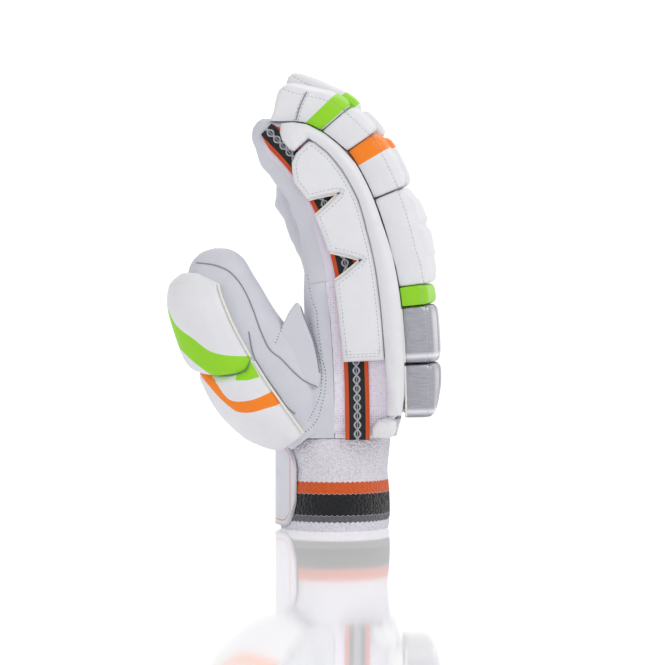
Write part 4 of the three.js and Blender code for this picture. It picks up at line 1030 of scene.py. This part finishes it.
# %% Woven tape material
LOOP, CHAIN_SWAY, CHAIN_WIDTH, CORE_WIDTH, TAPE_BORDER = 5.4, 1.75, 0.62, 0.45, 4.75
RIB_PITCH, YARN_PITCH = 0.9, 0.8
ribbon, tree, shader = new_material("woven_polyester_tape")
along, _, out = sewn_axes(tree)
from_edge = add_node(tree, "ShaderNodeMath ADD", out, TAPE_LOWER_EDGE)
off_middle = add_node(tree, "ShaderNodeMath SUBTRACT", from_edge, TAPE_WIDTH / 2)
off_middle = add_node(tree, "ShaderNodeMath ABSOLUTE", off_middle)
waves = []
for axis, pace in ((along, math.pi / LOOP), (along, math.tau / RIB_PITCH), (out, math.tau / YARN_PITCH)):
    phase = add_node(tree, "ShaderNodeMath MULTIPLY", axis, pace)
    waves.append(add_node(tree, "ShaderNodeMath SINE", phase))
sway = add_node(tree, "ShaderNodeMath ABSOLUTE", waves[0])
strand = add_node(tree, "ShaderNodeMath MULTIPLY_ADD", sway, -CHAIN_SWAY, off_middle)
strand = between(tree, add_node(tree, "ShaderNodeMath ABSOLUTE", strand), -FAR, CHAIN_WIDTH, 0.2)
core = add_node(tree, "ShaderNodeMath MULTIPLY", between(tree, off_middle, -FAR, CORE_WIDTH, 0.25), 0.7)
chain = add_node(tree, "ShaderNodeMath MAXIMUM", strand, core)
ribs = add_node(tree, "ShaderNodeMath MULTIPLY", waves[1], waves[2])
# Painted shade: the rib pattern darkens the tape's colour a little, besides the bump.
shade = add_node(tree, "ShaderNodeMath MULTIPLY_ADD", ribs, 0.12, 0.12)
border = between(tree, off_middle, TAPE_BORDER, FAR, 0.2)
colour = layered(tree, linear(BLACK), [(border, "#F05A20"), (chain, "#C9CBD4"), (shade, "#0B0B0D")])
tree.links.new(colour, shader.inputs["Base Color"])
weave = add_node(tree, "ShaderNodeBump", Strength=0.6, Distance=0.0004, Height=ribs)
tree.links.new(weave, shader.inputs["Normal"])
shader.inputs["Roughness"].default_value = 0.7
print("one loop of the chain is", LOOP, "mm long")

# %% Tape, bar and roll on both flanks
TAPE_THICKNESS, ROLL_THICKNESS = 1.0, 9.5
BAR_SEAT = 2 * GAP + TAPE_THICKNESS
BAR_SIDE, BAR_RIM, BAR_RIM_RADIUS, BAR_DOME = 3.0, 2.4, 2.1, 1.3
ROLL_SIDE, ROLL_RADIUS, ROLL_SPARE = 2.6, 6.2, 3.2
BAR_SEAM, HEMS, HEM_OUT = 2.6, (50.2, 52.2), np.linspace(-9.5, 12.5, 14)


def bar_height(distance, along, out):
    """A rounded rim, then a slow dome with a faint unevenness."""
    flat = np.stack([along, 0 * along, out], axis=-1)
    dome = BAR_DOME * (1 - np.exp(-distance / 5)) + 0.18 * wobble(flat, 21, 4.0)
    return BAR_SIDE + BAR_RIM * quarter_round(distance, BAR_RIM_RADIUS) + dome


def roll_height(distance, along, out):
    """A half-round roll that wrinkles near the wrist, where it is gathered."""
    flat = np.stack([along, 0 * along, out], axis=-1)
    low_part = 1 - smoothstep(along, 60, 95)
    ridges = np.abs(wobble(flat * (1.0, 1, 0.8), 26, 2.0)) - 0.3
    wrinkle = (ridges * 2.6 * low_part + 0.3 * wobble(flat, 24, 1.0)) * np.minimum(distance / 3, 1)
    return ROLL_SIDE + (ROLL_THICKNESS - ROLL_SPARE) * quarter_round(distance, ROLL_RADIUS) ** 0.9 + wrinkle


for finger in ("index", "little"):
    reach = HAND_LENGTH * FINGERS[finger]["length"]
    tape = plate(f"{finger}_tape_weave", finger, tape_outline(reach), GAP,
                 lambda distance, along, out: TAPE_THICKNESS * (0.6 + 0.4 * quarter_round(distance, 0.5)),
                 step=2.0, insets=(0.3, 0.8))
    dress(tape, ribbon, [f"{finger}_tape"])
    bar = plate(f"{finger}_bar_panel", finger, bar_outline(finger, reach), BAR_SEAT, bar_height)
    dress(bar, looks["white"], [f"{finger}_side_bar"])
    rim = resample(np.array(bar_outline(finger, reach)), 1.2)
    line, good = inset_outline(rim, BAR_SEAM)
    side = -1 if finger == "index" else 1
    top = side * (HALF + BAR_SEAT + bar_height(np.full(len(line), BAR_SEAM), line[:, 0], line[:, 1]))
    placed = bend(finger, np.stack([line[:, 0], top, line[:, 1]], axis=1))
    breaks = np.nonzero(~good)[0]
    stitch_lines += [part for part in np.split(placed, breaks) if len(part) > 3]
    for hem in HEMS:
        hem_along = np.full(len(HEM_OUT), hem)
        top = side * (HALF + BAR_SEAT + bar_height(np.full(len(HEM_OUT), 4.0), hem_along, HEM_OUT))
        stitch_lines.append(bend(finger, np.stack([hem_along, top, HEM_OUT], axis=1)))
    roll = plate(f"{finger}_roll_skin", finger, roll_outline(reach), GAP,
                 lambda distance, along, out: BAR_SEAT - GAP + roll_height(distance, along, out))
    dress(roll, looks["white"], [f"{finger}_side_roll"])
    print(finger, "bar faces", len(bar.data.polygons), "roll faces", len(roll.data.polygons))

# %% The folded tab at the wrist
TAB_OUTLINE = [(0.08, 0.0), (0.02, 0.41), (0.08, 0.82), (0.48, 1.0), (0.87, 0.96), (1.0, 0.68), (0.87, 0.21),
               (0.48, 0.0)]
TAB_LENGTH, TAB_WIDTH, TAB_OUT, TAB_THICKNESS = 12.6, 14.6, 6.0, 5.0


def tab_height(distance, along, out):
    """A stuffed fold, gathered in small pleats at its lower end."""
    pleats = 0.5 * np.abs(np.sin(out * 0.9)) * (along < 5)
    return 1.0 + (TAB_THICKNESS - 1.2) * quarter_round(distance, 5.0) - pleats


tab_places = [(a * TAB_LENGTH, TAB_OUT + o * TAB_WIDTH) for a, o in TAB_OUTLINE]
tab = plate("wrist_tab_fold", "index", tab_places, GAP, tab_height, step=0.9, insets=(0.3, 0.7, 1.3))
dress(tab, looks["white"], ["wrist_tab"])
print("tab faces:", len(tab.data.polygons))

# %% [markdown]
# ## The thumb
#
# The thumb has its own bent line and its own stall of palm leather. Two stuffed guards wrap its outer
# edge, each from a piping seam on the face round to the hidden side. They are grids in turn (round the
# thumb) and share (along it). The guards are pieced from white, green and orange leather, so each point
# also keeps how deep it lies inside each colour, and the material cuts the colours there.

# %% Thumb centre line and sections
THUMB_LENGTH, THUMB_WIDTH, THUMB_THICKNESS = 112.0, 44.0, 36.0
THUMB_ROOT = (-24.0, -35.0, 60.0)
THUMB_SPLAY = 6.0
THUMB_LEAN = np.array([(0.0, 38), (0.3, 30), (0.6, 21), (0.85, 13), (1.0, 8)])
THUMB_PROFILE = np.array([
    # along, left, right, thick
    (-0.08, -0.16, 0.4, 0.7), (0.02, -0.26, 0.56, 0.82), (0.1, -0.35, 0.68, 0.92), (0.22, -0.42, 0.75, 0.98),
    (0.35, -0.46, 0.76, 1.0), (0.5, -0.48, 0.7, 1.0), (0.65, -0.48, 0.61, 0.97), (0.8, -0.48, 0.53, 0.91),
    (0.9, -0.44, 0.455, 0.8), (0.98, -0.38, 0.39, 0.69), (1.02, -0.31, 0.32, 0.56),
    (1.045, -0.23, 0.24, 0.41), (1.06, -0.15, 0.155, 0.27), (1.067, -0.06, 0.06, 0.12),
])


def thumb_place(share, across, y):
    """Bends places along the thumb, across its face and through its thickness into the glove."""
    share, across, y = np.broadcast_arrays(share, across, y)
    x = np.full(share.shape, THUMB_ROOT[0])
    z = np.full(share.shape, THUMB_ROOT[2])
    steps = 60
    for i in range(steps):
        lean = np.radians(column(THUMB_LEAN, share * i / steps, 1))
        x = x - np.sin(lean) * share * THUMB_LENGTH / steps
        z = z + np.cos(lean) * share * THUMB_LENGTH / steps
    lean = np.radians(column(THUMB_LEAN, share, 1))
    middle = THUMB_ROOT[1] - THUMB_SPLAY * share + y
    return np.stack([x + across * np.cos(lean), middle, z + across * np.sin(lean)], axis=-1) + SHIFT


def thumb_edge(share, turn, grow):
    """The thumb's section at a turn, grown outwards: across its face and through its thickness."""
    left, right, thick = (column(THUMB_PROFILE, share, k) for k in (1, 2, 3))
    half = (right - left) / 2 * THUMB_WIDTH + grow
    deep = thick * THUMB_THICKNESS / 2 + grow
    across = (left + right) / 2 * THUMB_WIDTH + half * np.sign(np.cos(turn)) * np.abs(np.cos(turn)) ** 0.85
    return across, -deep * np.sign(np.sin(turn)) * np.abs(np.sin(turn)) ** 0.85


print("thumb tip stands at", thumb_place(1.0, 0.0, 0.0).round(1))

# %% Thumb stall
THUMB_COLUMNS = 72
thumb_rows = np.concatenate([np.linspace(-0.08, 0.97, 62), 1.067 - 0.09 * (1 - np.linspace(0, 1, 12)) ** 2])
share, turn = np.meshgrid(thumb_rows, np.arange(THUMB_COLUMNS) / THUMB_COLUMNS * math.tau, indexing="ij")
across, y = thumb_edge(share, turn, 0.0)
crumple = wobble(np.stack([share * THUMB_LENGTH, across, y], axis=-1), 19, 6.0) * 0.55
outside = to_point(thumb_place(share, across, y + crumple), thumb_place(1.07, 0.0, 0.0))
rings = np.minimum(share, 0.98)
across, y = thumb_edge(rings, turn, -LEATHER_WALL)
inside = to_point(thumb_place(rings, across, y), thumb_place(1.025, 0.0, 0.0))
points, faces = wall(outside, inside, wraps=True)
thumb = add_piece("thumb_stall_skin", points, faces)
dress(thumb, looks["palm"], ["thumb_leather"])
print("thumb stall faces:", len(faces))

# %% Thumb guard colours
# Edges of the green and orange pieces: across the thumb, then share along it
GREEN_TOP = np.array([(-33.5, 0.81), (-31.5, 0.74), (-23.9, 0.65), (-17.6, 0.57), (-10.1, 0.52),
                      (1.1, 0.47)])
GREEN_LOW = np.array([(-33.6, 0.62), (-27.0, 0.52), (-21.9, 0.45), (-15.9, 0.37), (-2.0, 0.36), (2.0, 0.36)])
GREEN_TRIANGLE = [(236, 379), (241, 366), (252, 360), (261, 375.5), (249, 379)]
ORANGE_TOP = np.array([(-28.9, 0.51), (-22.1, 0.45), (-22.0, 0.39), (-19.6, 0.31), (-12.8, 0.27),
                       (-5.9, 0.25), (1.8, 0.24)])
ORANGE_LOW = np.array([(-29.2, 0.49), (-26.6, 0.41), (-24.0, 0.33), (-19.3, 0.24), (-12.1, 0.2),
                       (-4.7, 0.18), (2.6, 0.16)])


def band_depth(top, low, across, share):
    """How deep a point lies inside a colour band, in millimetres along the thumb."""
    above = column(top, across, 1) - share
    below = share - column(low, across, 1)
    return np.minimum(above, below) * THUMB_LENGTH


def pieced(tree, base):
    """Green and orange leather, each where its depth on the points is above 0."""
    for name, colour in (("green", GREEN), ("orange", ORANGE)):
        depth = add_node(tree, "ShaderNodeAttribute", out="Fac", settings={"attribute_name": name})
        base = layered(tree, base, [(between(tree, depth, 0.0, FAR, 0.15), colour)])
    return base


# The pads' coated leather again, cut and pieced in three colours
looks["guard"] = leather("coated_leather_guard", WHITE, stripes=pieced)
print("guard colours:", WHITE, GREEN, ORANGE)

# %% Edges and swell of the thumb guards
GUARD_TURNS = (93.0, 272.0)
GUARD_ROWS, GUARD_COLUMNS = 70, 50
GUARD_EDGES = np.array([
    # turn, top, step
    (93, 0.89, 0.455), (106, 0.92, 0.41), (130, 0.955, 0.43), (180, 0.965, 0.52), (230, 0.95, 0.56),
    (272, 0.92, 0.56),
])
UPPER_SWELL = np.array([(0, 0.62), (0.06, 0.95), (0.2, 1.04), (0.5, 1.02), (0.75, 1.0), (0.9, 0.86),
                        (1, 0.4)])
LOWER_SWELL = np.array([(0, 0.35), (0.1, 0.66), (0.3, 0.88), (0.6, 0.96), (0.92, 0.84), (1, 0.5)])
UPPER_THICKNESS, LOWER_THICKNESS, GUARD_SPLIT = 12.5, 10.6, 1.3


def rim_lines(count, rim):
    """Places from 0 to 1 with extra ones near both ends."""
    ends = np.array([0, 0.05, 0.14, 0.28, 0.45, 0.7]) * rim
    return np.concatenate([ends, np.linspace(rim, 1 - rim, count), 1 - ends[::-1]])


def guard_top(degrees):
    return column(GUARD_EDGES, degrees, 1)


def guard_step(degrees):
    return column(GUARD_EDGES, degrees, 2)


print("the guards meet at", guard_step(180.0), "of the thumb on its outer edge")


# %% Thumb guards
def guard(name, node, start_at, end_at, thickness, swells):
    """One stuffed guard between two edges; returns its outer grid, which the piping follows."""
    t, s = np.meshgrid(rim_lines(GUARD_ROWS, 0.03), rim_lines(GUARD_COLUMNS, 0.05), indexing="ij")
    degrees = GUARD_TURNS[0] + (GUARD_TURNS[1] - GUARD_TURNS[0]) * t
    turn = np.radians(degrees)
    low, high = start_at(degrees), end_at(degrees)
    share = low + (high - low) * s
    from_edge = np.minimum(degrees - GUARD_TURNS[0], GUARD_TURNS[1] - degrees)
    side = 0.45 + 0.55 * np.minimum(from_edge / 22, 1) ** 0.6
    face = 0.5 + 0.5 * np.abs(np.cos(turn)) ** 1.5
    ends = np.minimum(s, 1 - s) * (high - low) * THUMB_LENGTH
    soft = 0.7 + 0.3 * quarter_round(np.minimum(ends, from_edge * 0.33), 3.0)
    across, y = thumb_edge(share, turn, 0.0)
    ripple = 1 + 0.035 * wobble(np.stack([share * THUMB_LENGTH, across, y], axis=-1), 26, 3.0)
    grow = GAP + thickness * face * side * column(swells, s, 1) * soft * ripple
    across, y = thumb_edge(share, turn, grow)
    outside = thumb_place(share, across, y)
    flat = np.stack([share * THUMB_LENGTH, across, y], axis=-1)
    under_across, under_y = thumb_edge(share, turn, -LEATHER_WALL / 2)
    points, faces = wall(outside, thumb_place(share, under_across, under_y))
    bands = {"green": band_depth(GREEN_TOP, GREEN_LOW, across, share),
             "orange": band_depth(ORANGE_TOP, ORANGE_LOW, across, share)}
    if node.endswith("lower"):
        triangle, seen = on_photo(GREEN_TRIANGLE), outside[..., [0, 2]].reshape(-1, 2)
        deep = edge_distance(seen, triangle) * np.where(is_inside(seen, triangle), 1, -1)
        bands["green"] = np.where(outside[..., 1] < THUMB_ROOT[1], deep.reshape(share.shape), -9)
    else:
        bands["orange"] = 0 * share - 9
    extra = {key: np.concatenate([value.ravel()] * 2) for key, value in bands.items()}
    piece = add_piece(name, points, faces, sewn=np.concatenate([flat.reshape(-1, 3)] * 2), extra=extra)
    dress(piece, looks["guard"], [node])
    print(name, "has", len(faces), "faces")
    return outside


upper_grid = guard("thumb_guard_upper_cover", "thumb_guard_upper", guard_step, guard_top, UPPER_THICKNESS,
                   UPPER_SWELL)
lower_grid = guard("thumb_guard_lower_cover", "thumb_guard_lower", lambda degrees: -0.05 + 0 * degrees,
                   lambda degrees: guard_step(degrees) - GUARD_SPLIT / THUMB_LENGTH, LOWER_THICKNESS,
                   LOWER_SWELL)

# %% [markdown]
# The web is the soft fold of sheepskin that fills the crook of the thumb. It is an outline filled like
# the side panels, but bent along the thumb instead of the hand, and pulled into shallow folds.

# %% Web between thumb and palm
WEB_OUTLINE = np.array([
    # share along the thumb, share of its width
    (0.562, 0.676), (0.444, 0.364), (0.372, 0.352), (0.224, 0.494), (0.114, 0.642), (0.214, 0.824),
    (0.444, 0.943), (0.636, 0.949), (0.618, 0.813),
]) * (THUMB_LENGTH, THUMB_WIDTH)
flat, faces, distance, rim_size = fill_outline(rounded(WEB_OUTLINE), 1.6, (0.4, 1.0, 1.8))
pull = wobble(np.stack([flat[:, 0], 0 * flat[:, 0], flat[:, 1]], axis=1) * (1.2, 1, 0.5), 17, 8.0)
rise = 0.5 + 0.9 * quarter_round(distance, 1.8) + 0.45 * pull * np.minimum(distance / 4, 1)
share, across = flat[:, 0] / THUMB_LENGTH, flat[:, 1]
offset = -HALF - GAP - THUMB_ROOT[1] + THUMB_SPLAY * share
front = thumb_place(share, across, offset - rise)
back = thumb_place(share, across, offset)
web = add_piece("thumb_web_skin", np.concatenate([front, back]), two_sided(faces, len(flat), rim_size))
dress(web, looks["palm"], ["thumb_web"])
dress(palm, looks["palm"], ["palm_leather"])
print("web faces:", len(web.data.polygons))

# %% [markdown]
# ## Piping, seams, stitches and holes
#
# Piping is a cord sewn into an edge, and a dark seam is the shadow line where two leathers meet: both are
# thin tubes. Their paths come from the grids above or were read on the photograph and are laid on the
# leather by rays along the view. Stitches and perforations repeat by the thousand, so one Geometry Nodes
# tree puts a small shape on each point of a path, turned along it.

# %% Lines on the leather
LINE_STEP, RAY_START = 1.0, -150.0


def laid_on(pieces, places, lift):
    """A line through photograph places, laid on the near side of those pieces."""
    flat = on_photo(places)
    run = np.concatenate([[0], np.cumsum(np.linalg.norm(np.diff(flat, axis=0), axis=1))])
    walked = np.arange(0, run[-1], LINE_STEP)
    table = np.column_stack([run, flat])
    x, z = column(table, walked, 1), column(table, walked, 2)
    line = []
    trees = [BVHTree.FromPolygons([v.co for v in p.data.vertices], [f.vertices for f in p.data.polygons])
             for p in pieces]
    for px, pz in zip(x, z):
        hits = [tree.ray_cast(Vector((px, RAY_START, pz)) * MM, Vector((0, 1, 0)))[0] for tree in trees]
        depths = [hit.y / MM for hit in hits if hit is not None]
        if depths:
            line.append((px, min(depths) - lift, pz))
    return np.array(line)


print("lines are laid on the leather in steps of", LINE_STEP, "mm")


# %% Thin tubes
def tube(lines, radius, sides=8):
    """Closed thin tubes along lines of points."""
    points, faces = [], []
    turn = np.arange(sides) / sides * math.tau
    for line in lines:
        tangent = np.gradient(line, axis=0)
        tangent /= np.linalg.norm(tangent, axis=1, keepdims=True)
        side = np.cross(tangent, (0, 1, 0))
        side /= np.maximum(np.linalg.norm(side, axis=1, keepdims=True), 1e-6)
        up = np.cross(side, tangent)
        ring = side[:, None] * np.cos(turn)[:, None] + up[:, None] * np.sin(turn)[:, None]
        start, rows = sum(len(p) for p in points), len(line)
        points += [line[:1], (line[:, None] + ring * radius).reshape(-1, 3), line[-1:]]
        faces += grid_faces(rows, sides, True, start + 1)
        last = start + 1 + rows * sides
        for j in range(sides):
            k = (j + 1) % sides
            faces += [(start, start + 1 + k, start + 1 + j), (last, last - sides + j, last - sides + k)]
    return np.concatenate(points), faces


# %% Piping, bindings and seams
PIPING, BLOCK_PIPING, BINDING, SEAM = 0.75, 0.7, 0.8, 0.42
BLOCK_SIDES = ((0.062, 0.202), (0.212, 0.358))
# Cotton cord in a cream leather skin: thin, so it shows as a pale line with one narrow highlight
cream = leather("cream_piping_cord", "#F1EFE6", grain_mm=0.8, crease=0.1)
# Painted shadow of a seam: a matt grey tube along the line where two leathers meet
seam_shadow = leather("painted_seam_shadow", "#8E909C", roughness=0.7, shade="#6F7180")
guard_piping = [grid[2, 4:-4] + (0.9, -0.5, 0.0) for grid in (upper_grid, lower_grid)]
block_piping = []
for low, high in BLOCK_SIDES:
    t = np.linspace(low, high, 24) * HAND_LENGTH
    block_piping.append(bend("index", np.stack([t, 0 * t - HALF - 0.3, 0 * t + BACK_DEPTH + 1.2], axis=1)))
notch_lines = []
for first in (0, 3):
    outline = np.array(across_bar(NOTCHES["index"][first:first + 3], HAND_LENGTH))
    middle = np.array([outline[[0, 2], 0].mean(), (outline[0, 1] + outline[2, 1]) / 2])
    for a, b in zip(outline[:-1], outline[1:]):
        inward = middle - (a + b) / 2
        inward = inward / np.linalg.norm(inward) * 0.75
        t = np.linspace(0.06, 0.92, 16)[:, None]
        line = a + (b - a) * t + inward
        depth = np.full(16, -(HALF + BAR_SEAT + 1.6))
        notch_lines.append(bend("index", np.stack([line[:, 0], depth, line[:, 1]], axis=1)))
for name, lines, radius in (("guard_piping", guard_piping, PIPING),
                            ("block_piping", block_piping, BLOCK_PIPING),
                            ("notch_binding", notch_lines, BINDING)):
    dress(add_piece(name, *tube(lines, radius)), cream)
SEAMS = [
    # beside the thumb guards, round the thumb's palm side, and along the web, as photograph places
    [(250, 331), (254, 352), (264, 371), (277, 390), (288, 406), (296.5, 413)],
    [(198, 263), (212, 264.5), (228, 270), (238, 279), (246, 291), (254, 309), (262, 331), (271, 349),
     (281.5, 357.5), (292, 368.5), (305, 380), (318, 386)],
    [(300, 303), (304, 315), (309, 328), (314, 343), (318, 360), (320, 373)],
]
near_leather = [thumb, palm, web, made["index_stall_skin"]]
seam_paths = [laid_on(near_leather, places, 0.05) for places in SEAMS]
# A crease on the tip pad gets the same grey tube: painted shadow of the crease.
TIP_CREASE = [(307, 94), (300.5, 108), (296, 123)]
tip_cover = made["index_tip_pad_cover"]
seam_paths.append(laid_on([tip_cover], TIP_CREASE, 0.0))
for step_aside in (-1.8, 2.2):
    stitch_lines.append(laid_on([tip_cover], [(x + step_aside, y) for x, y in TIP_CREASE], 0.1))
dress(add_piece("seam_shadow_tubes", *tube(seam_paths, SEAM)), seam_shadow)
print("tubes:", len(guard_piping) + len(block_piping) + len(notch_lines) + len(seam_paths))

# %% Shapes repeated along lines
def repeat_tree():
    """A tree that puts a small bead on each point, turned along the point's aim."""
    group = bpy.data.node_groups.new("shapes_on_points", "GeometryNodeTree")
    for name, kind in (("Geometry", "Geometry"), ("Width", "Float"), ("Length", "Float"), ("Seed", "Int"),
                       ("Material", "Material")):
        group.interface.new_socket(name, in_out="INPUT", socket_type="NodeSocket" + kind)
    group.interface.new_socket("Geometry", in_out="OUTPUT", socket_type="NodeSocketGeometry")
    given = group.nodes.new("NodeGroupInput").outputs
    bead = add_node(group, "GeometryNodeMeshUVSphere", 8, 5, 1.0)
    size = add_node(group, "ShaderNodeCombineXYZ", given["Width"], given["Width"], given["Length"])
    shaped = add_node(group, "GeometryNodeTransform", Geometry=bead, Scale=size)
    aim = add_node(group, "GeometryNodeInputNamedAttribute", settings={"data_type": "FLOAT_VECTOR"},
                   Name="aim")
    turned = add_node(group, "FunctionNodeAlignRotationToVector", settings={"axis": "Z"}, Vector=aim)
    vary = add_node(group, "FunctionNodeRandomValue", out=1, settings={"data_type": "FLOAT"},
                    Seed=given["Seed"], _2=0.85, _3=1.12)
    placed = add_node(group, "GeometryNodeInstanceOnPoints", Points=given["Geometry"], Instance=shaped,
                      Rotation=turned, Scale=vary)
    real = add_node(group, "GeometryNodeRealizeInstances", Geometry=placed)
    coloured = add_node(group, "GeometryNodeSetMaterial", Geometry=real, Material=given["Material"])
    group.links.new(coloured, group.nodes.new("NodeGroupOutput").inputs[0])
    return group


shapes = repeat_tree()
print("the tree has", len(shapes.nodes), "nodes")


# %% Running the tree
def repeat(name, places, aims, width, length, look, seed=7):
    """Runs the tree over places and keeps the result as one plain mesh."""
    mesh = bpy.data.meshes.new(name + "_points")
    mesh.from_pydata((np.asarray(places) * MM).tolist(), [], [])
    attribute = mesh.attributes.new("aim", "FLOAT_VECTOR", "POINT")
    attribute.data.foreach_set("vector", np.asarray(aims, np.float32).ravel())
    holder = bpy.data.objects.new(name + "_points", mesh)
    bpy.context.scene.collection.objects.link(holder)
    modifier = holder.modifiers.new("repeat", "NODES")
    modifier.node_group = shapes
    given = {"Width": width * MM, "Length": length * MM, "Seed": seed, "Material": look}
    for item in shapes.interface.items_tree:
        if item.in_out == "INPUT" and item.name in given:
            modifier[item.identifier] = given[item.name]
    evaluated = holder.evaluated_get(bpy.context.evaluated_depsgraph_get())
    result = bpy.data.meshes.new_from_object(evaluated)
    bpy.data.objects.remove(holder)
    result.name = name
    result.shade_smooth()
    piece = bpy.data.objects.new(name, result)
    bpy.context.scene.collection.objects.link(piece)
    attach(piece, "root")
    print(name, len(places), "places,", len(result.polygons), "faces")


def walk(line, spacing):
    """Places at even spacing along a line, with its direction there."""
    run = np.concatenate([[0], np.cumsum(np.linalg.norm(np.diff(line, axis=0), axis=1))])
    at = np.arange(spacing / 2, run[-1], spacing)
    places = np.stack([np.interp(at, run, line[:, k]) for k in range(3)], axis=1)
    ahead = np.stack([np.interp(at + 0.5, run, line[:, k]) for k in range(3)], axis=1)
    behind = np.stack([np.interp(at - 0.5, run, line[:, k]) for k in range(3)], axis=1)
    return places, ahead - behind


# %% Stitches and perforations
STITCH_SPACING, STITCH_WIDTH, STITCH_LENGTH = 2.4, 0.26, 0.85
HOLE_SPACING, HOLE_WIDTH, HOLE_DEPTH = 2.0, 0.42, 0.12
HOLE_ROWS = [
    [(308, 274), (310, 289), (313, 301), (317, 312), (318, 325), (320, 340), (322, 357), (325, 368),
     (326, 377), (325, 390), (322, 403), (318, 417), (309, 428), (299, 434)],
    [(311, 322), (313, 334), (317, 345), (320, 358), (322, 375), (321, 390), (316, 405), (308, 420)],
    [(283, 326), (279, 335), (275, 346)],
]
stitch_lines += [strap_outer[4:, 3], strap_outer[4:, -4][::-1]]
walked = [walk(line, STITCH_SPACING) for line in stitch_lines]
# Twisted polyester yarn, coloured a little darker than the leather: painted shade where each stitch sinks
thread = leather("polyester_thread", "#C4C5CF", roughness=0.55, grain_mm=0.5, crease=0.0, shade="#A6A8B4")
repeat("stitches", np.concatenate([w[0] for w in walked]), np.concatenate([w[1] for w in walked]),
       STITCH_WIDTH, STITCH_LENGTH, thread)
hole_paths = [laid_on(near_leather, places, 0.02) for places in HOLE_ROWS]
places = np.concatenate([walk(line, HOLE_SPACING)[0] for line in hole_paths])
# A punched hole is a small dark disc on the skin: painted shade inside the hole, without gloss
hole_shade = leather("shade_in_a_punched_hole", "#7F8190", roughness=0.9, shade="#6B6D7C")
repeat("perforations", places, np.tile((0.0, 1.0, 0.0), (len(places), 1)), HOLE_WIDTH, HOLE_DEPTH,
       hole_shade)

# %% [markdown]
# ## Mesh walls and the panel under the pads
#
# These show only as narrow strips, and their modelled shape is right, so they stay and get a finish.
# Spacer mesh is polyester knitted in two open faces: matt and pale, with small holes whose dark inside is
# painted shade, a lavender-grey spot at each hole. Its holes are drawn 1.5 mm apart, a little coarser than
# real ones. The panel gets the white leather of the pads.

# %% Finishes on the strips that stay
HOLE_PITCH = 1.5
mesh_cloth, tree, shader = new_material("knitted_spacer_mesh")
place = add_node(tree, "ShaderNodeTexCoord", out="Object")
holes = add_node(tree, "ShaderNodeTexVoronoi", out="Distance", Vector=place, Scale=1000 / HOLE_PITCH,
                 Randomness=0.25)
# Painted shade: a lavender-grey spot at each hole stands for the dark inside.
painted_hole_shade = add_node(tree, "ShaderNodeMapRange", holes, 0.0, 0.5, 1.0, 0.0)
tree.links.new(layered(tree, linear("#EEE8F4"), [(painted_hole_shade, "#B4AAC6")]), shader.inputs["Base Color"])
dimples = add_node(tree, "ShaderNodeBump", Strength=0.7, Distance=0.0005, Height=holes)
tree.links.new(dimples, shader.inputs["Normal"])
shader.inputs["Roughness"].default_value = 0.9
strips = {"index_gusset": mesh_cloth, "little_gusset": mesh_cloth, "back_panel": looks["white"]}
for node, look in strips.items():
    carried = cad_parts[node]
    carried.data.materials.clear()
    carried.data.materials.append(look)
print("carried over with a new finish:", *strips)

# %% [markdown]
# ## Floor, light and camera
#
# A pale glossy floor gives the soft mirror image under the glove. The world is white to the camera and
# weaker as a light, and three soft lamps model the forms: one from the upper right, one from the left
# front and one from above at the back. The camera stands at the photograph's angle, far off, so that
# edges stay parallel.

# %% Floor
bpy.ops.mesh.primitive_plane_add(size=8, location=(0, 0, 0))
floor = bpy.context.object
floor.name = "floor"
# Cast acrylic sheet: almost a mirror at a low angle, lit a little from inside so that it stays white
gloss, tree, shader = new_material("white_acrylic_floor")
shader.inputs["Base Color"].default_value = linear("#F6F6F8")
shader.inputs["Roughness"].default_value = 0.05
shader.inputs["Emission Color"].default_value = (1, 1, 1, 1)
shader.inputs["Emission Strength"].default_value = 0.18
floor.data.materials.append(gloss)
print("floor stage set")

# %% World and lamps
scene = bpy.context.scene
scene.view_settings.view_transform = "Standard"
world = bpy.data.worlds.new("white_studio")
scene.world = world
world.use_nodes = True
tree = world.node_tree
background = tree.nodes["Background"]
rays = add_node(tree, "ShaderNodeLightPath").node.outputs
seen = add_node(tree, "ShaderNodeMath MAXIMUM", rays["Is Camera Ray"], rays["Is Glossy Ray"])
background.inputs["Color"].default_value = (1, 1, 1, 1)
strength = add_node(tree, "ShaderNodeMath MULTIPLY_ADD", seen, 0.52, 0.6)
tree.links.new(strength, background.inputs["Strength"])


def lamp(name, place, aim, size, power):
    """A square soft lamp at a place in metres, aimed at another."""
    light = bpy.data.lights.new(name, "AREA")
    light.size = size
    light.energy = power
    holder = bpy.data.objects.new(name, light)
    holder.location = place
    holder.rotation_euler = (Vector(aim) - Vector(place)).to_track_quat("-Z", "Y").to_euler()
    scene.collection.objects.link(holder)


lamp("key_right", (1.3, -0.9, 1.3), (0, 0, 0.15), 0.8, 9)
lamp("fill_left", (-1.4, -1.2, 0.7), (0, 0, 0.12), 1.2, 3)
lamp("top_back", (0.2, 0.9, 1.6), (0, 0, 0.15), 1.0, 5)
print("lamps:", len(bpy.data.lights))

# %% Camera
VIEW_CENTRE = np.array([(332.5 - 332) * PIXEL, -25.0, (530 - 332.5) * PIXEL]) + SHIFT
CAMERA_DISTANCE, CAMERA_HEIGHT = 2200.0, 150.0
camera_data = bpy.data.cameras.new("camera")
camera_data.sensor_width = 36
camera_data.lens = 36 * CAMERA_DISTANCE / (665 * PIXEL)
camera_data.clip_end = 50
camera = bpy.data.objects.new("camera", camera_data)
scene.collection.objects.link(camera)
camera.location = Vector((VIEW_CENTRE + (0, -CAMERA_DISTANCE, CAMERA_HEIGHT - VIEW_CENTRE[2])) * MM)
aim = Vector(VIEW_CENTRE * MM) - camera.location
camera.rotation_euler = aim.to_track_quat("-Z", "Y").to_euler()
scene.camera = camera
print("camera lens in mm:", round(camera_data.lens))
